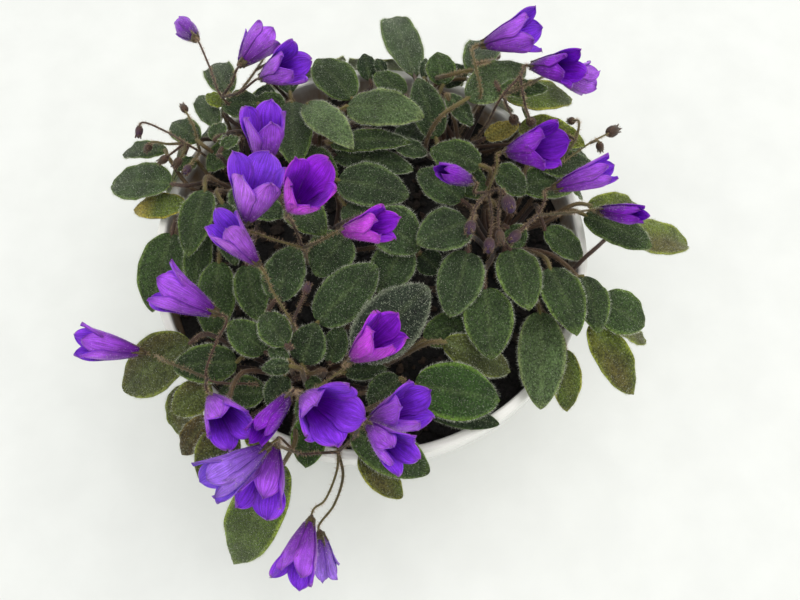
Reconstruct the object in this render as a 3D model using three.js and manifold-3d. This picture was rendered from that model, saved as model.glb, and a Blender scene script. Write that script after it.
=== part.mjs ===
// A potted african violet: six leafy crowns, their forked flower stalks and bell-shaped
// blooms, standing in the soil of a round pot. Millimetres, +Z up, the origin in the
// middle of the pot's base.

import * as THREE from 'three';
import { mergeVertices } from 'three/addons/utils/BufferGeometryUtils.js';
import Module from 'manifold-3d';

const wasm = await Module();
wasm.setup();

// ---------------------------------------------------------------- driving dimensions (mm)

const POT = { height: 95, rimRadius: 90, baseRadius: 62, wall: 2.8, floor: 3.5,
  collar: 14, step: 2.2, lip: 1.4, sides: 28 };
const DRAIN = { count: 5, radius: 4, ring: 38, sides: 6 };
const SOIL = { belowRim: 13, bump: 1.6 };
const CLEARANCE = 0.35;                    // between pieces that stand in or on each other
const STEM = { radius: 6, sunk: 10, proud: 11, sides: 7, reach: 60 };
const BLADE = { thickness: 1, stack: 1.7, arch: 0.05, droop: 0.07, cup: 0.1, steepest: 0.6 };
const LEAF_STALK = { radius: 1.4, long: 58, apart: 4.2, kin: 3.2, hub: 15 };
const FLOWER_STALK = { radius: 1.1, sunk: 8, proud: 2.2, fromStem: 12, reach: 70 };
const CALYX = { top: 2.7, length: 5 };
const BELL = { petals: 5, sides: 15, length: 21, lobe: 1.08, notch: 0.86, base: 2.2, skin: 0.8,
  apart: 0.9, overLeaves: 1.5 };
const BUD = { radius: 2.4, half: 3.2 };
const CANOPY = { crest: 36, reach: 97, layer: 2, top: 4, overRim: 4.5 };   // the leaves' dome
const HANGING = { leaves: 9, from: 16, to: 164, inner: 88.5, outer: 103, over: 7, drop: 24,
  width: 24 };
const SETTLE = { passes: 80, near: 0.05, lowest: 24, margin: 3, rimBand: 7 };

const rimTop = POT.height;
const soilTop = POT.height - SOIL.belowRim;

// ---------------------------------------------------------------- pixels to real places
// The places of leaves and flowers are read off the picture as pixels. The eye looks
// down on the pot, and the middle of the pot's rim is seen at the pixel rimCentre.

const VIEW = { elevation: 67.5, roll: 1, distance: 333, focal: 800, centre: [400, 300],
  rimCentre: [371.2, 243.7], size: [800, 600] };

const radians = THREE.MathUtils.degToRad;
const vec = (x, y, z) => new THREE.Vector3(x, y, z);
const UP = vec(0, 0, 1);

const tilt = radians(VIEW.elevation);
const roll = radians(VIEW.roll);
const toEye = vec(0, -Math.cos(tilt), Math.sin(tilt));
const levelUp = vec(0, Math.sin(tilt), Math.cos(tilt));
const eyeRight = vec(Math.cos(roll), 0, 0).addScaledVector(levelUp, Math.sin(roll));
const eyeUp = vec(-Math.sin(roll), 0, 0).addScaledVector(levelUp, Math.cos(roll));
const mmPerPixel = VIEW.distance / VIEW.focal;
const eye = vec(0, 0, rimTop)
  .addScaledVector(toEye, VIEW.distance)
  .addScaledVector(eyeRight, -(VIEW.rimCentre[0] - VIEW.centre[0]) * mmPerPixel)
  .addScaledVector(eyeUp, (VIEW.rimCentre[1] - VIEW.centre[1]) * mmPerPixel);

function fromPixel([u, v], z) {
  const ray = toEye.clone().negate()
    .addScaledVector(eyeRight, (u - VIEW.centre[0]) / VIEW.focal)
    .addScaledVector(eyeUp, (VIEW.centre[1] - v) / VIEW.focal);
  return eye.clone().addScaledVector(ray, (z - eye.z) / ray.z);
}

function depthOf(point) {
  return eye.clone().sub(point).dot(toEye);
}

function toPixel(point) {
  const offset = point.clone().sub(eye);
  const scale = VIEW.focal / depthOf(point);
  return [VIEW.centre[0] + offset.dot(eyeRight) * scale, VIEW.centre[1] - offset.dot(eyeUp) * scale];
}

const reachOf = (point) => Math.hypot(point.x, point.y);

function canopyHeight(reach) {
  return rimTop + CANOPY.crest * (1 - (reach / CANOPY.reach) ** 2);
}

const flowerHeight = (reach) => Math.max(canopyHeight(reach), rimTop - SETTLE.lowest);

// ---------------------------------------------------------------- what grows where
// A leaf is seen from the end of its stalk to its tip, and a layer lies over a lower one.

const leaf = (stalkEnd, tip, width, layer) => ({ stalkEnd, tip, width, layer });

const CROWNS = {
  left: { middle: [207, 150], leaves: [
    leaf([172, 184], [108, 182], 42, 2), leaf([165, 150], [118, 152], 20, 1),
    leaf([185, 205], [130, 208], 28, 1), leaf([205, 190], [187, 253], 34, 3),
    leaf([197, 140], [170, 120], 28, 2), leaf([216, 125], [197, 92], 22, 1),
    leaf([236, 142], [207, 170], 26, 2), leaf([222, 203], [234, 263], 30, 2),
    leaf([240, 185], [242, 220], 24, 1), leaf([172, 234], [150, 310], 46, 1),
    leaf([203, 232], [193, 292], 28, 1), leaf([219, 262], [212, 340], 40, 1),
    leaf([247, 265], [258, 320], 34, 3), leaf([214, 140], [222, 122], 17, 3),
    leaf([222, 148], [238, 136], 13, 3), leaf([196, 160], [176, 168], 16, 1),
    leaf([250, 205], [285, 214], 26, 1)] },
  back: { middle: [312, 118], leaves: [
    leaf([224, 105], [206, 94], 16, 2), leaf([228, 92], [212, 58], 30, 1),
    leaf([258, 103], [222, 106], 32, 3), leaf([284, 108], [256, 98], 24, 1),
    leaf([292, 102], [295, 160], 42, 2), leaf([307, 104], [350, 142], 34, 4),
    leaf([352, 98], [315, 57], 40, 1), leaf([370, 80], [364, 53], 20, 0),
    leaf([384, 74], [377, 58], 12, 0), leaf([405, 95], [374, 73], 26, 1),
    leaf([347, 106], [422, 112], 42, 3), leaf([330, 143], [409, 139], 24, 2),
    leaf([335, 155], [413, 168], 30, 1), leaf([395, 145], [428, 152], 20, 1),
    leaf([400, 150], [420, 120], 28, 0), leaf([300, 150], [335, 172], 28, 1),
    leaf([262, 112], [268, 84], 24, 0), leaf([290, 92], [286, 66], 22, 0)] },
  upper: { middle: [470, 112], leaves: [
    leaf([415, 77], [388, 8], 36, 0), leaf([424, 78], [426, 57], 10, 0),
    leaf([443, 85], [438, 51], 30, 1), leaf([441, 85], [468, 66], 24, 0),
    leaf([472, 70], [492, 35], 34, 1), leaf([468, 98], [527, 62], 42, 2),
    leaf([436, 138], [418, 77], 34, 1), leaf([447, 95], [474, 125], 20, 1),
    leaf([505, 97], [577, 95], 36, 1), leaf([500, 90], [548, 88], 20, 2),
    leaf([520, 125], [584, 143], 34, 2), leaf([556, 148], [590, 158], 16, 1),
    leaf([485, 138], [519, 124], 20, 2)] },
  centre: { middle: [322, 222], leaves: [
    leaf([338, 180], [408, 194], 46, 2), leaf([375, 215], [420, 250], 50, 3),
    leaf([345, 235], [315, 275], 48, 1), leaf([405, 245], [378, 292], 44, 1),
    leaf([290, 200], [323, 231], 38, 2), leaf([345, 205], [380, 236], 30, 1),
    leaf([420, 254], [440, 272], 28, 0)] },
  right: { middle: [500, 224], leaves: [
    leaf([480, 165], [430, 147], 36, 3), leaf([485, 195], [437, 155], 34, 2),
    leaf([462, 200], [418, 170], 36, 2), leaf([468, 222], [419, 241], 46, 4),
    leaf([468, 252], [450, 315], 46, 3), leaf([510, 250], [530, 307], 44, 4),
    leaf([508, 228], [524, 246], 26, 2),
    leaf([495, 170], [528, 192], 30, 2), leaf([520, 186], [582, 178], 38, 1),
    leaf([540, 165], [600, 165], 30, 1), leaf([590, 205], [653, 214], 30, 0),
    leaf([610, 235], [695, 242], 38, 1), leaf([585, 215], [654, 245], 36, 2),
    leaf([545, 230], [584, 258], 28, 1), leaf([550, 268], [578, 331], 42, 3),
    leaf([583, 276], [600, 328], 36, 2), leaf([600, 300], [646, 326], 46, 1),
    leaf([610, 325], [650, 342], 20, 0), leaf([592, 325], [637, 396], 38, 0),
    leaf([540, 312], [542, 409], 48, 2), leaf([565, 350], [568, 413], 30, 0),
    leaf([485, 288], [492, 358], 50, 2)] },
  front: { middle: [306, 368], leaves: [
    leaf([275, 300], [296, 245], 42, 3), leaf([286, 345], [262, 312], 32, 5),
    leaf([265, 352], [228, 322], 34, 4), leaf([302, 364], [315, 324], 38, 4),
    leaf([288, 360], [268, 348], 15, 4), leaf([290, 366], [262, 368], 17, 4),
    leaf([330, 362], [341, 326], 26, 2), leaf([318, 322], [376, 264], 50, 2),
    leaf([357, 357], [428, 285], 62, 4), leaf([425, 340], [476, 315], 34, 1),
    leaf([415, 385], [502, 400], 58, 3), leaf([345, 372], [387, 368], 20, 1),
    leaf([400, 378], [368, 405], 34, 2), leaf([425, 408], [500, 424], 26, 0),
    leaf([265, 392], [217, 393], 34, 2), leaf([285, 375], [268, 408], 26, 3),
    leaf([312, 415], [305, 469], 36, 2),
    leaf([310, 388], [322, 437], 40, 1), leaf([308, 378], [320, 392], 16, 2),
    leaf([237, 362], [172, 366], 40, 3), leaf([190, 343], [119, 390], 58, 2),
    leaf([190, 385], [180, 438], 40, 1), leaf([210, 385], [172, 413], 36, 2),
    leaf([207, 418], [180, 456], 28, 2), leaf([232, 428], [200, 483], 44, 3),
    leaf([250, 425], [265, 452], 24, 1), leaf([445, 342], [514, 372], 36, 1),
    leaf([282, 466], [228, 571], 56, 1), leaf([352, 432], [431, 473], 46, 2),
    leaf([360, 455], [403, 499], 30, 1)] },
};

// A bloom is seen from its calyx to the middle of its mouth. It rises above the canopy,
// and its mouth is nearer the eye than its calyx (1) or further from it (-1).

const bloom = (calyx, mouth, width, rise, nearer) => ({ calyx, mouth, width, rise, nearer });

const BLOOMS = [
  bloom([195, 38], [173, 14], 24, 34, -1), bloom([242, 63], [258, 26], 33, 34, -1),
  bloom([263, 77], [300, 75], 36, 26, 1), bloom([264, 165], [273, 124], 42, 24, 1),
  bloom([247, 220], [267, 176], 52, 26, 1), bloom([291, 209], [318, 188], 46, 16, 1),
  bloom([255, 261], [229, 227], 34, 14, 1), bloom([345, 231], [385, 229], 32, 14, 1),
  bloom([214, 312], [164, 286], 42, 12, 1), bloom([139, 352], [94, 341], 33, 12, 1),
  bloom([353, 358], [389, 330], 42, 14, 1), bloom([212, 398], [241, 421], 42, 12, 1),
  bloom([287, 398], [266, 426], 26, 10, 1), bloom([305, 397], [339, 411], 52, 25, 1),
  bloom([372, 420], [416, 403], 45, 16, 1), bloom([370, 427], [400, 446], 34, 9, 1),
  bloom([265, 448], [217, 478], 42, 12, 1), bloom([275, 449], [267, 491], 46, 14, 1),
  bloom([310, 522], [299, 566], 40, 8, 1), bloom([320, 535], [322, 582], 26, 2, -1),
  bloom([470, 181], [438, 177], 22, 8, 1), bloom([485, 44], [530, 40], 38, 26, 1),
  bloom([534, 66], [562, 81], 30, 24, 1), bloom([560, 75], [594, 70], 32, 20, -1),
  bloom([508, 152], [547, 152], 42, 20, 1), bloom([557, 187], [601, 175], 28, 18, 1),
  bloom([602, 211], [629, 220], 22, 12, 1)];

// A flower stalk is seen along its points. It starts at the first point of an earlier
// one, or stands in the soil, and it ends in a bloom (by its number) or in a bud.

const toBloom = (points, number) => ({ points, number });
const toBud = (points, rise, size) => ({ points, rise, size });

const SPRAYS = {
  left_back: { crown: 'back', stalks: [
    toBloom([[222, 97], [210, 68], [196, 40]], 1), toBloom([[222, 97], [232, 82], [240, 66]], 2),
    toBloom([[222, 97], [240, 92], [263, 78]], 3), toBud([[240, 92], [256, 70], [269, 50]], 8, 0.8),
    toBud([[256, 70], [276, 58], [290, 48]], 8, 0.7)] },
  left_buds: { crown: 'left', stalks: [
    toBud([[200, 152], [185, 143], [165, 131], [141, 123], [139, 132]], 16, 0.8),
    toBud([[185, 143], [168, 144], [152, 142], [148, 148]], 12, 0.8),
    toBud([[185, 143], [176, 150], [163, 160]], 10, 0.8),
    toBud([[185, 143], [184, 152], [177, 163]], 9, 0.8),
    toBud([[200, 152], [194, 160], [187, 170]], 9, 0.8),
    toBud([[200, 152], [194, 128], [184, 108]], 16, 0.8)] },
  centre: { crown: 'centre', stalks: [
    toBloom([[303, 248], [275, 240], [252, 232], [247, 221]], 5),
    toBloom([[303, 248], [292, 222], [291, 210]], 6),
    toBloom([[303, 248], [322, 240], [345, 231]], 8),
    toBloom([[292, 222], [276, 192], [264, 166]], 4)] },
  centre_low: { crown: 'front', stalks: [
    toBloom([[292, 322], [272, 290], [256, 262]], 7),
    toBud([[292, 322], [300, 305], [307, 288]], 8, 0.7)] },
  front_left: { crown: 'front', stalks: [
    toBloom([[252, 384], [207, 378], [215, 345], [215, 313]], 9),
    toBloom([[207, 378], [168, 362], [140, 352]], 10),
    toBloom([[207, 378], [206, 388], [211, 397]], 12)] },
  front: { crown: 'front', stalks: [
    toBloom([[300, 396], [325, 382], [345, 367], [353, 359]], 11),
    toBloom([[300, 396], [303, 396]], 14), toBloom([[300, 396], [292, 392], [288, 397]], 13)] },
  bottom: { crown: 'front', stalks: [
    toBloom([[338, 452], [337, 470], [325, 500], [311, 520]], 19),
    toBloom([[338, 452], [343, 475], [334, 505], [321, 533]], 20),
    toBloom([[338, 452], [355, 436], [371, 421]], 15), toBloom([[355, 436], [369, 428]], 16),
    toBloom([[338, 452], [320, 453], [298, 453], [276, 449]], 18),
    toBloom([[298, 453], [280, 446], [266, 447]], 17)] },
  right: { crown: 'right', stalks: [
    toBloom([[488, 192], [497, 166], [507, 153]], 25),
    toBloom([[488, 192], [474, 192], [471, 182]], 21),
    toBud([[488, 192], [476, 206], [470, 228]], 9, 1),
    toBud([[488, 192], [492, 218], [489, 246]], 7, 1),
    toBud([[488, 192], [502, 190], [509, 205]], 13, 1.3),
    toBud([[502, 190], [498, 215], [500, 238]], 8, 0.9)] },
  far_right: { crown: 'right', stalks: [
    toBloom([[520, 230], [537, 215], [545, 199], [556, 188]], 26),
    toBloom([[537, 215], [568, 213], [601, 211]], 27),
    toBud([[537, 215], [526, 226], [514, 237]], 7, 1)] },
  upper: { crown: 'upper', stalks: [
    toBloom([[487, 124], [503, 95], [520, 76], [533, 67]], 23),
    toBloom([[503, 95], [532, 82], [559, 76]], 24),
    toBud([[503, 95], [508, 108], [514, 120]], 12, 1),
    toBud([[520, 76], [524, 100], [531, 122]], 12, 1)] },
  upper_left: { crown: 'upper', stalks: [
    toBloom([[481, 92], [475, 64], [484, 45]], 22),
    toBud([[475, 64], [486, 62], [497, 56]], 16, 0.8)] },
  upper_right: { crown: 'upper', stalks: [
    toBud([[555, 166], [590, 143], [613, 131]], 22, 1.2),
    toBud([[590, 143], [598, 141], [600, 147]], 16, 0.8),
    toBud([[555, 166], [575, 140], [579, 122], [571, 121]], 18, 0.8),
    toBud([[575, 140], [566, 134], [556, 130]], 14, 0.8)] },
};

// ---------------------------------------------------------------- solids

function noise(...keys) {
  let value = 0;
  keys.forEach((key, place) => {
    value += Math.sin(key * (12.9898 + place * 65.233) + place) * 43758.5453;
  });
  return value - Math.floor(value);
}

function solidOf(geometry) {
  const bare = geometry.clone();
  bare.deleteAttribute('normal');
  bare.deleteAttribute('uv');
  const merged = mergeVertices(bare, 1e-4);
  return new wasm.Manifold(new wasm.Mesh({ numProp: 3,
    vertProperties: new Float32Array(merged.attributes.position.array),
    triVerts: new Uint32Array(merged.index.array) }));
}

function solidOfFaces(points, faces) {
  const geometry = new THREE.BufferGeometry().setFromPoints(points);
  geometry.setIndex(faces.flat());
  return solidOf(geometry);
}

function largestBody(solid) {
  const bodies = solid.decompose().sort((a, b) => b.volume() - a.volume());
  return bodies[0];
}

const fuse = (solids) => solids.reduce((sum, solid) => sum.add(solid));
const carve = (solid, tools) => tools.reduce((rest, tool) => rest.subtract(tool), solid);

function meshOf(name, solid, look) {
  const { vertProperties, triVerts } = solid.getMesh();
  const geometry = new THREE.BufferGeometry();
  geometry.setAttribute('position', new THREE.BufferAttribute(vertProperties, 3));
  geometry.setIndex(new THREE.BufferAttribute(triVerts, 1));
  geometry.computeVertexNormals();
  const mesh = new THREE.Mesh(geometry, look);
  mesh.name = name;
  return mesh;
}

// Three-cornered rings square to a path, one corner up: [top, right, left] each. The side
// of a ring follows on from the one before, so that the skin isn't wrung.

function ringsAlong(curve, radii, firstSide) {
  let side = firstSide.clone();
  return radii.map((radius, step) => {
    const share = step / (radii.length - 1);
    const at = curve.getPoint(share);
    const heading = curve.getTangent(share);
    side = side.clone().addScaledVector(heading, -heading.dot(side)).normalize();
    const up = heading.clone().cross(side);
    const corner = (sideways, upwards) => at.clone()
      .addScaledVector(side, sideways * radius).addScaledVector(up, upwards * radius);
    return [corner(0, 1), corner(0.87, -0.5), corner(-0.87, -0.5)];
  });
}

function ringFaces(rings) {
  const faces = [[0, 1, 2]];
  for (let ring = 0; ring < rings.length - 1; ring += 1) {
    for (let corner = 0; corner < 3; corner += 1) {
      const a = ring * 3 + corner;
      const b = ring * 3 + (corner + 1) % 3;
      faces.push([a, a + 3, b + 3], [a, b + 3, b]);
    }
  }
  return faces;
}

function closedTube(rings) {
  const last = (rings.length - 1) * 3;
  return solidOfFaces(rings.flat(), [...ringFaces(rings), [last, last + 2, last + 1]]);
}

const smooth = (points) => new THREE.CatmullRomCurve3(points, false, 'centripetal');

function peg(centre, bottom, top, radius, sides) {
  const geometry = new THREE.CylinderGeometry(radius, radius, top - bottom, sides);
  geometry.rotateX(Math.PI / 2);
  geometry.translate(centre.x, centre.y, (top + bottom) / 2);
  return solidOf(geometry);
}

// ---------------------------------------------------------------- the roof of leaves
// Leaves are laid from the lowest layer up. Each is raised along the eye's rays until it
// lies clear over what is already there, as the roof keeps it in cells of the picture.

const CELL = 5;                            // pixels
const columns = VIEW.size[0] / CELL;
const rows = VIEW.size[1] / CELL;
const leafRoof = new Float64Array(columns * rows).fill(-1e3);

function cellOf(point) {
  const [u, v] = toPixel(point);
  return [Math.min(Math.max(Math.floor(u / CELL), 1), columns - 2),
    Math.min(Math.max(Math.floor(v / CELL), 1), rows - 2)];
}

function potUnder(point) {
  const reach = reachOf(point);
  if (reach > POT.rimRadius + SETTLE.margin) return SETTLE.margin;
  return reach > POT.rimRadius - SETTLE.rimBand ? rimTop : soilTop + SETTLE.margin;
}

function roofUnder(point) {
  const [column, row] = cellOf(point);
  let top = potUnder(point);
  for (let i = column - 1; i <= column + 1; i += 1) {
    for (let j = row - 1; j <= row + 1; j += 1) top = Math.max(top, leafRoof[j * columns + i]);
  }
  return top;
}

function bladeFrame(spec, baseHeight, tipHeight) {
  const base = fromPixel(spec.stalkEnd, baseHeight);
  const axis = fromPixel(spec.tip, tipHeight).sub(base);
  const along = axis.clone().normalize();
  const facing = UP.clone().addScaledVector(toEye, 0.5);
  const normal = facing.addScaledVector(along, -facing.dot(along)).normalize();
  const across = normal.clone().cross(along);
  const middle = base.clone().addScaledVector(axis, 0.5);
  return { ...spec, base, axis, length: axis.length(), normal, across,
    half: spec.width / 2 * depthOf(middle) / VIEW.focal };
}

const bladeWidth = (s) => Math.sin(Math.PI * s ** 0.85) ** (0.5 + 0.16 * s);

function bladePoint(blade, s, t, lift = 0) {
  const width = s <= 0 || s >= 1 ? 0 : bladeWidth(s);
  const rise = blade.length * (BLADE.arch * 4 * s * (1 - s) - BLADE.droop * s * s)
    + blade.cup * blade.half * width * t * t + lift;
  return blade.base.clone().addScaledVector(blade.axis, s)
    .addScaledVector(blade.across, t * blade.half * width)
    .addScaledVector(blade.normal, rise);
}

function bladeSamples(blade) {
  const points = [];
  const alongSteps = Math.ceil(blade.length / mmPerPixel / 4);
  const acrossSteps = Math.ceil(blade.width / 4);
  for (let i = 0; i <= alongSteps; i += 1) {
    for (let j = 0; j <= acrossSteps; j += 1) {
      const s = i / alongSteps;
      points.push({ s, point: bladePoint(blade, s, 2 * j / acrossSteps - 1) });
    }
  }
  return points;
}

function layBlade(spec) {
  let { baseHeight, tipHeight } = spec;
  let blade = bladeFrame(spec, baseHeight, tipHeight);
  for (let pass = 0; pass < (spec.fixed ? 0 : SETTLE.passes); pass += 1) {
    let worst = { need: SETTLE.near, s: 0 };
    for (const { s, point } of bladeSamples(blade)) {
      const need = roofUnder(point) + BLADE.stack - point.z;
      if (need > worst.need) worst = { need, s };
    }
    if (worst.need <= SETTLE.near) break;
    const { need, s } = worst;
    const share = (1 - s) ** 2 + s ** 2;
    baseHeight += need * (1 - s) / share;
    tipHeight += need * s / share;
    const steepest = BLADE.steepest * Math.hypot(blade.axis.x, blade.axis.y);
    baseHeight = Math.max(baseHeight, tipHeight - steepest);
    tipHeight = Math.max(tipHeight, baseHeight - steepest);
    blade = bladeFrame(spec, baseHeight, tipHeight);
  }
  for (const { point } of bladeSamples(blade)) {
    const [column, row] = cellOf(point);
    const cell = row * columns + column;
    leafRoof[cell] = Math.max(leafRoof[cell], point.z + BLADE.thickness / 2);
  }
  return blade;
}

// Behind, where the eye doesn't reach, leaves hang over the rim.

function hangingLeaves() {
  return Array.from({ length: HANGING.leaves }, (_, place) => {
    const share = (place + 0.5) / HANGING.leaves;
    const angle = radians(HANGING.from + (HANGING.to - HANGING.from) * share);
    const heading = vec(Math.cos(angle), Math.sin(angle), 0);
    const drop = HANGING.drop * (0.8 + 0.4 * noise(place));
    const base = heading.clone().multiplyScalar(HANGING.inner).setZ(rimTop + HANGING.over);
    const tip = heading.clone().multiplyScalar(HANGING.outer).setZ(rimTop - drop);
    const spec = leaf(toPixel(base), toPixel(tip), HANGING.width / mmPerPixel, -1);
    return { ...spec, baseHeight: base.z, tipHeight: tip.z, fixed: true };
  });
}

const crownNames = Object.keys(CROWNS);
for (const name of crownNames) {
  CROWNS[name].foot = fromPixel(CROWNS[name].middle, soilTop + 20).setZ(0)
    .clampLength(0, STEM.reach).setZ(soilTop);
}

function nearestCrown(point) {
  const gap = (name) => CROWNS[name].foot.distanceTo(point);
  return [...crownNames].sort((a, b) => gap(a) - gap(b))[0];
}

function allLeaves() {
  const leaves = hangingLeaves().map((spec) => (
    { ...spec, crown: nearestCrown(fromPixel(spec.stalkEnd, rimTop)) }));
  for (const crown of crownNames) {
    for (const spec of CROWNS[crown].leaves) {
      const level = (spec.layer - CANOPY.top) * CANOPY.layer;
      const height = (pixel) => canopyHeight(reachOf(fromPixel(pixel, rimTop + 15))) + level;
      const baseHeight = Math.max(height(spec.stalkEnd), rimTop + CANOPY.overRim);
      leaves.push({ ...spec, crown, baseHeight, tipHeight: height(spec.tip) });
    }
  }
  leaves.forEach((spec, index) => {
    spec.cup = BLADE.cup * (1.6 * noise(index, 7) - 0.3);
    spec.turn = (index * 0.618) % 1;
  });
  return leaves.sort((a, b) => a.layer - b.layer).map(layBlade);
}

// ---------------------------------------------------------------- blooms

function bellFrame(spec, height) {
  const base = fromPixel(spec.calyx, height);
  const scale = depthOf(base) / VIEW.focal;
  const sideways = eyeRight.clone().multiplyScalar((spec.mouth[0] - spec.calyx[0]) * scale)
    .addScaledVector(eyeUp, (spec.calyx[1] - spec.mouth[1]) * scale);
  const seen = sideways.length();
  const towards = Math.sqrt(Math.max(BELL.length ** 2 - seen ** 2, 0));
  const axis = sideways.addScaledVector(toEye, spec.nearer * towards);
  return { ...spec, base, axis, length: axis.length(), radius: spec.width / 2 * scale };
}

const bellRadius = (bell, s) => bell.radius * Math.min(1, 0.15 + 1.4 * s);

function bellSamples(bell) {
  const points = [];
  const along = bell.axis.clone().normalize();
  const first = along.clone().cross(UP).normalize();
  const second = along.clone().cross(first);
  for (let i = 0; i <= 8; i += 1) {
    const s = i / 8 * BELL.lobe;
    const radius = bellRadius(bell, s);
    for (let j = 0; j < 20; j += 1) {
      const angle = j * Math.PI / 10;
      points.push(bell.base.clone().addScaledVector(bell.axis, s)
        .addScaledVector(first, radius * Math.cos(angle))
        .addScaledVector(second, radius * Math.sin(angle)));
    }
  }
  return points;
}

function isInBell(point, bell) {
  const offset = point.clone().sub(bell.base);
  const s = offset.dot(bell.axis) / bell.axis.lengthSq();
  if (s < -0.05 || s > BELL.lobe + 0.05) return false;
  return offset.addScaledVector(bell.axis, -s).length() < bellRadius(bell, s) + BELL.apart;
}

const bellsMeet = (one, other) => bellSamples(one).some((point) => isInBell(point, other))
  || bellSamples(other).some((point) => isInBell(point, one));

// A bloom is raised along the eye's rays until it is clear of the leaves and of the blooms
// before it.

function layBlooms() {
  const laid = [];
  for (const spec of BLOOMS) {
    const reach = reachOf(fromPixel(spec.calyx, rimTop + 15));
    let height = flowerHeight(reach) + spec.rise;
    let bell = bellFrame(spec, height);
    for (let pass = 0; pass < SETTLE.passes; pass += 1) {
      const need = Math.max(...bellSamples(bell)
        .map((point) => roofUnder(point) + BELL.overLeaves - point.z));
      if (need <= SETTLE.near && !laid.some((other) => bellsMeet(bell, other))) break;
      height += Math.max(need, 1);
      bell = bellFrame(spec, height);
    }
    laid.push(bell);
  }
  return laid;
}

function turned(along) {
  return new THREE.Quaternion().setFromUnitVectors(vec(0, 1, 0), along);
}

function bellSolid(bell) {
  const { radius, length } = bell;
  const outline = [[0, CLEARANCE], [BELL.base, CLEARANCE], [radius * 0.8, length * 0.48],
    [radius, length], [radius - BELL.skin, length], [0, length * 0.24]]
    .map(([x, y]) => new THREE.Vector2(x, y));
  const geometry = new THREE.LatheGeometry(outline, BELL.sides);
  const position = geometry.attributes.position;
  const perPetal = BELL.sides / BELL.petals;
  for (let index = 0; index < position.count; index += 1) {
    if (Math.abs(position.getY(index) - length) < 1e-6) {
      const side = Math.floor(index / outline.length) % perPetal;
      position.setY(index, length * (side === 0 ? BELL.notch : BELL.lobe));
    }
  }
  geometry.applyQuaternion(turned(bell.axis.clone().normalize()));
  geometry.translate(bell.base.x, bell.base.y, bell.base.z);
  return solidOf(geometry);
}

// ---------------------------------------------------------------- flower stalks

function laySpray(spray, bells) {
  const known = new Map();
  const keyOf = (pixel) => pixel.join();
  const crownFoot = CROWNS[spray.crown].foot;
  const stalks = [];
  const roots = [];
  for (const stalk of spray.stalks) {
    const { points } = stalk;
    const bell = stalk.number ? bells[stalk.number - 1] : null;
    const first = fromPixel(points[0], rimTop + 20);
    const start = known.get(keyOf(points[0])) ?? roofUnder(first) + FLOWER_STALK.proud;
    const last = points[points.length - 1];
    const endReach = reachOf(fromPixel(last, rimTop + 15));
    const end = bell ? bell.base.z : flowerHeight(endReach) + stalk.rise;
    const path = points.map((pixel, index) => {
      if (known.has(keyOf(pixel))) return fromPixel(pixel, known.get(keyOf(pixel)));
      const share = index / (points.length - 1);
      const even = fromPixel(pixel, start + (end - start) * share + 5 * share * (1 - share));
      const low = roofUnder(even) + FLOWER_STALK.proud;
      const height = index === points.length - 1 ? end : Math.max(even.z, low);
      known.set(keyOf(pixel), height);
      return fromPixel(pixel, height);
    });
    if (bell) {
      const along = bell.axis.clone().normalize();
      path[path.length - 1] = bell.base.clone();
      path.splice(-1, 0, bell.base.clone().addScaledVector(along, -CALYX.length));
    }
    if (!roots.some((root) => root.key === keyOf(points[0])) && stalks.every((other) => (
      !other.keys.includes(keyOf(points[0]))))) {
      const under = fromPixel(points[0], soilTop + 15).setZ(soilTop);
      const apart = under.clone().sub(crownFoot);
      apart.setLength(Math.max(FLOWER_STALK.fromStem, apart.length() * 0.65));
      const foot = crownFoot.clone().add(apart).setZ(0)
        .clampLength(0, FLOWER_STALK.reach).setZ(soilTop);
      roots.push({ key: keyOf(points[0]), foot });
      path.unshift(foot.clone().setZ(soilTop - FLOWER_STALK.sunk), foot.clone().setZ(soilTop - 2),
        foot.clone().setZ(soilTop + 5),
        foot.clone().lerp(path[0], 0.55).setZ((soilTop + path[0].z) / 2 + 3));
    }
    stalks.push({ path, bell, size: stalk.size, keys: points.map(keyOf) });
  }
  return { stalks, feet: roots.map((root) => root.foot) };
}

// A stalk is one skin with its calyx, which opens under the bloom, or with its bud.

const FIRST_SIDE = vec(1, 0.1, 0);

function stalkSolid({ path, bell, size }, grow = 0) {
  const radii = path.map(() => FLOWER_STALK.radius + grow);
  if (bell) radii[radii.length - 1] = CALYX.top + grow;
  else radii.splice(-1, 1, BUD.radius * size + grow, BUD.radius * size * 0.35 + grow);
  const tip = path[path.length - 1];
  const before = path[path.length - 2];
  const onward = tip.clone().sub(before).normalize();
  const ends = bell ? [] : [tip.clone().addScaledVector(onward, BUD.half * size)];
  return closedTube(ringsAlong(smooth([...path, ...ends]), radii, FIRST_SIDE));
}

const stalkTube = (path, grow) => (
  closedTube(ringsAlong(smooth(path), path.map(() => FLOWER_STALK.radius + grow), FIRST_SIDE)));

// ---------------------------------------------------------------- leafy crowns

function leafStalkPath(blade, bow, lift) {
  const { foot } = CROWNS[blade.crown];
  const joint = bladePoint(blade, 0, 0);
  const flat = joint.clone().sub(foot).setZ(0);
  const outward = flat.clone().normalize();
  const sideways = outward.clone().cross(UP);
  const start = foot.clone().addScaledVector(outward, STEM.radius * 0.75)
    .setZ(soilTop + 1.5 + blade.turn * (STEM.proud - 2.5));
  const risen = start.clone().addScaledVector(flat, 0.4).addScaledVector(sideways, bow)
    .setZ(soilTop + STEM.proud + (joint.z - soilTop - STEM.proud) * 0.6 + lift);
  const approach = joint.clone().addScaledVector(blade.axis, -0.2).addScaledVector(sideways, bow * 0.4);
  approach.z += Math.min(0, lift * 0.3) - 1;
  return [start, risen, approach, joint];
}

function leafStalkRings(blade, radius) {
  const curve = smooth(blade.stalk);
  const spans = curve.getLength() > LEAF_STALK.long ? 3 : 2;
  return ringsAlong(curve, Array(spans + 1).fill(radius), blade.across);
}

const stalkTool = (blade, grow) => closedTube(leafStalkRings(blade, LEAF_STALK.radius + grow));

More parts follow.
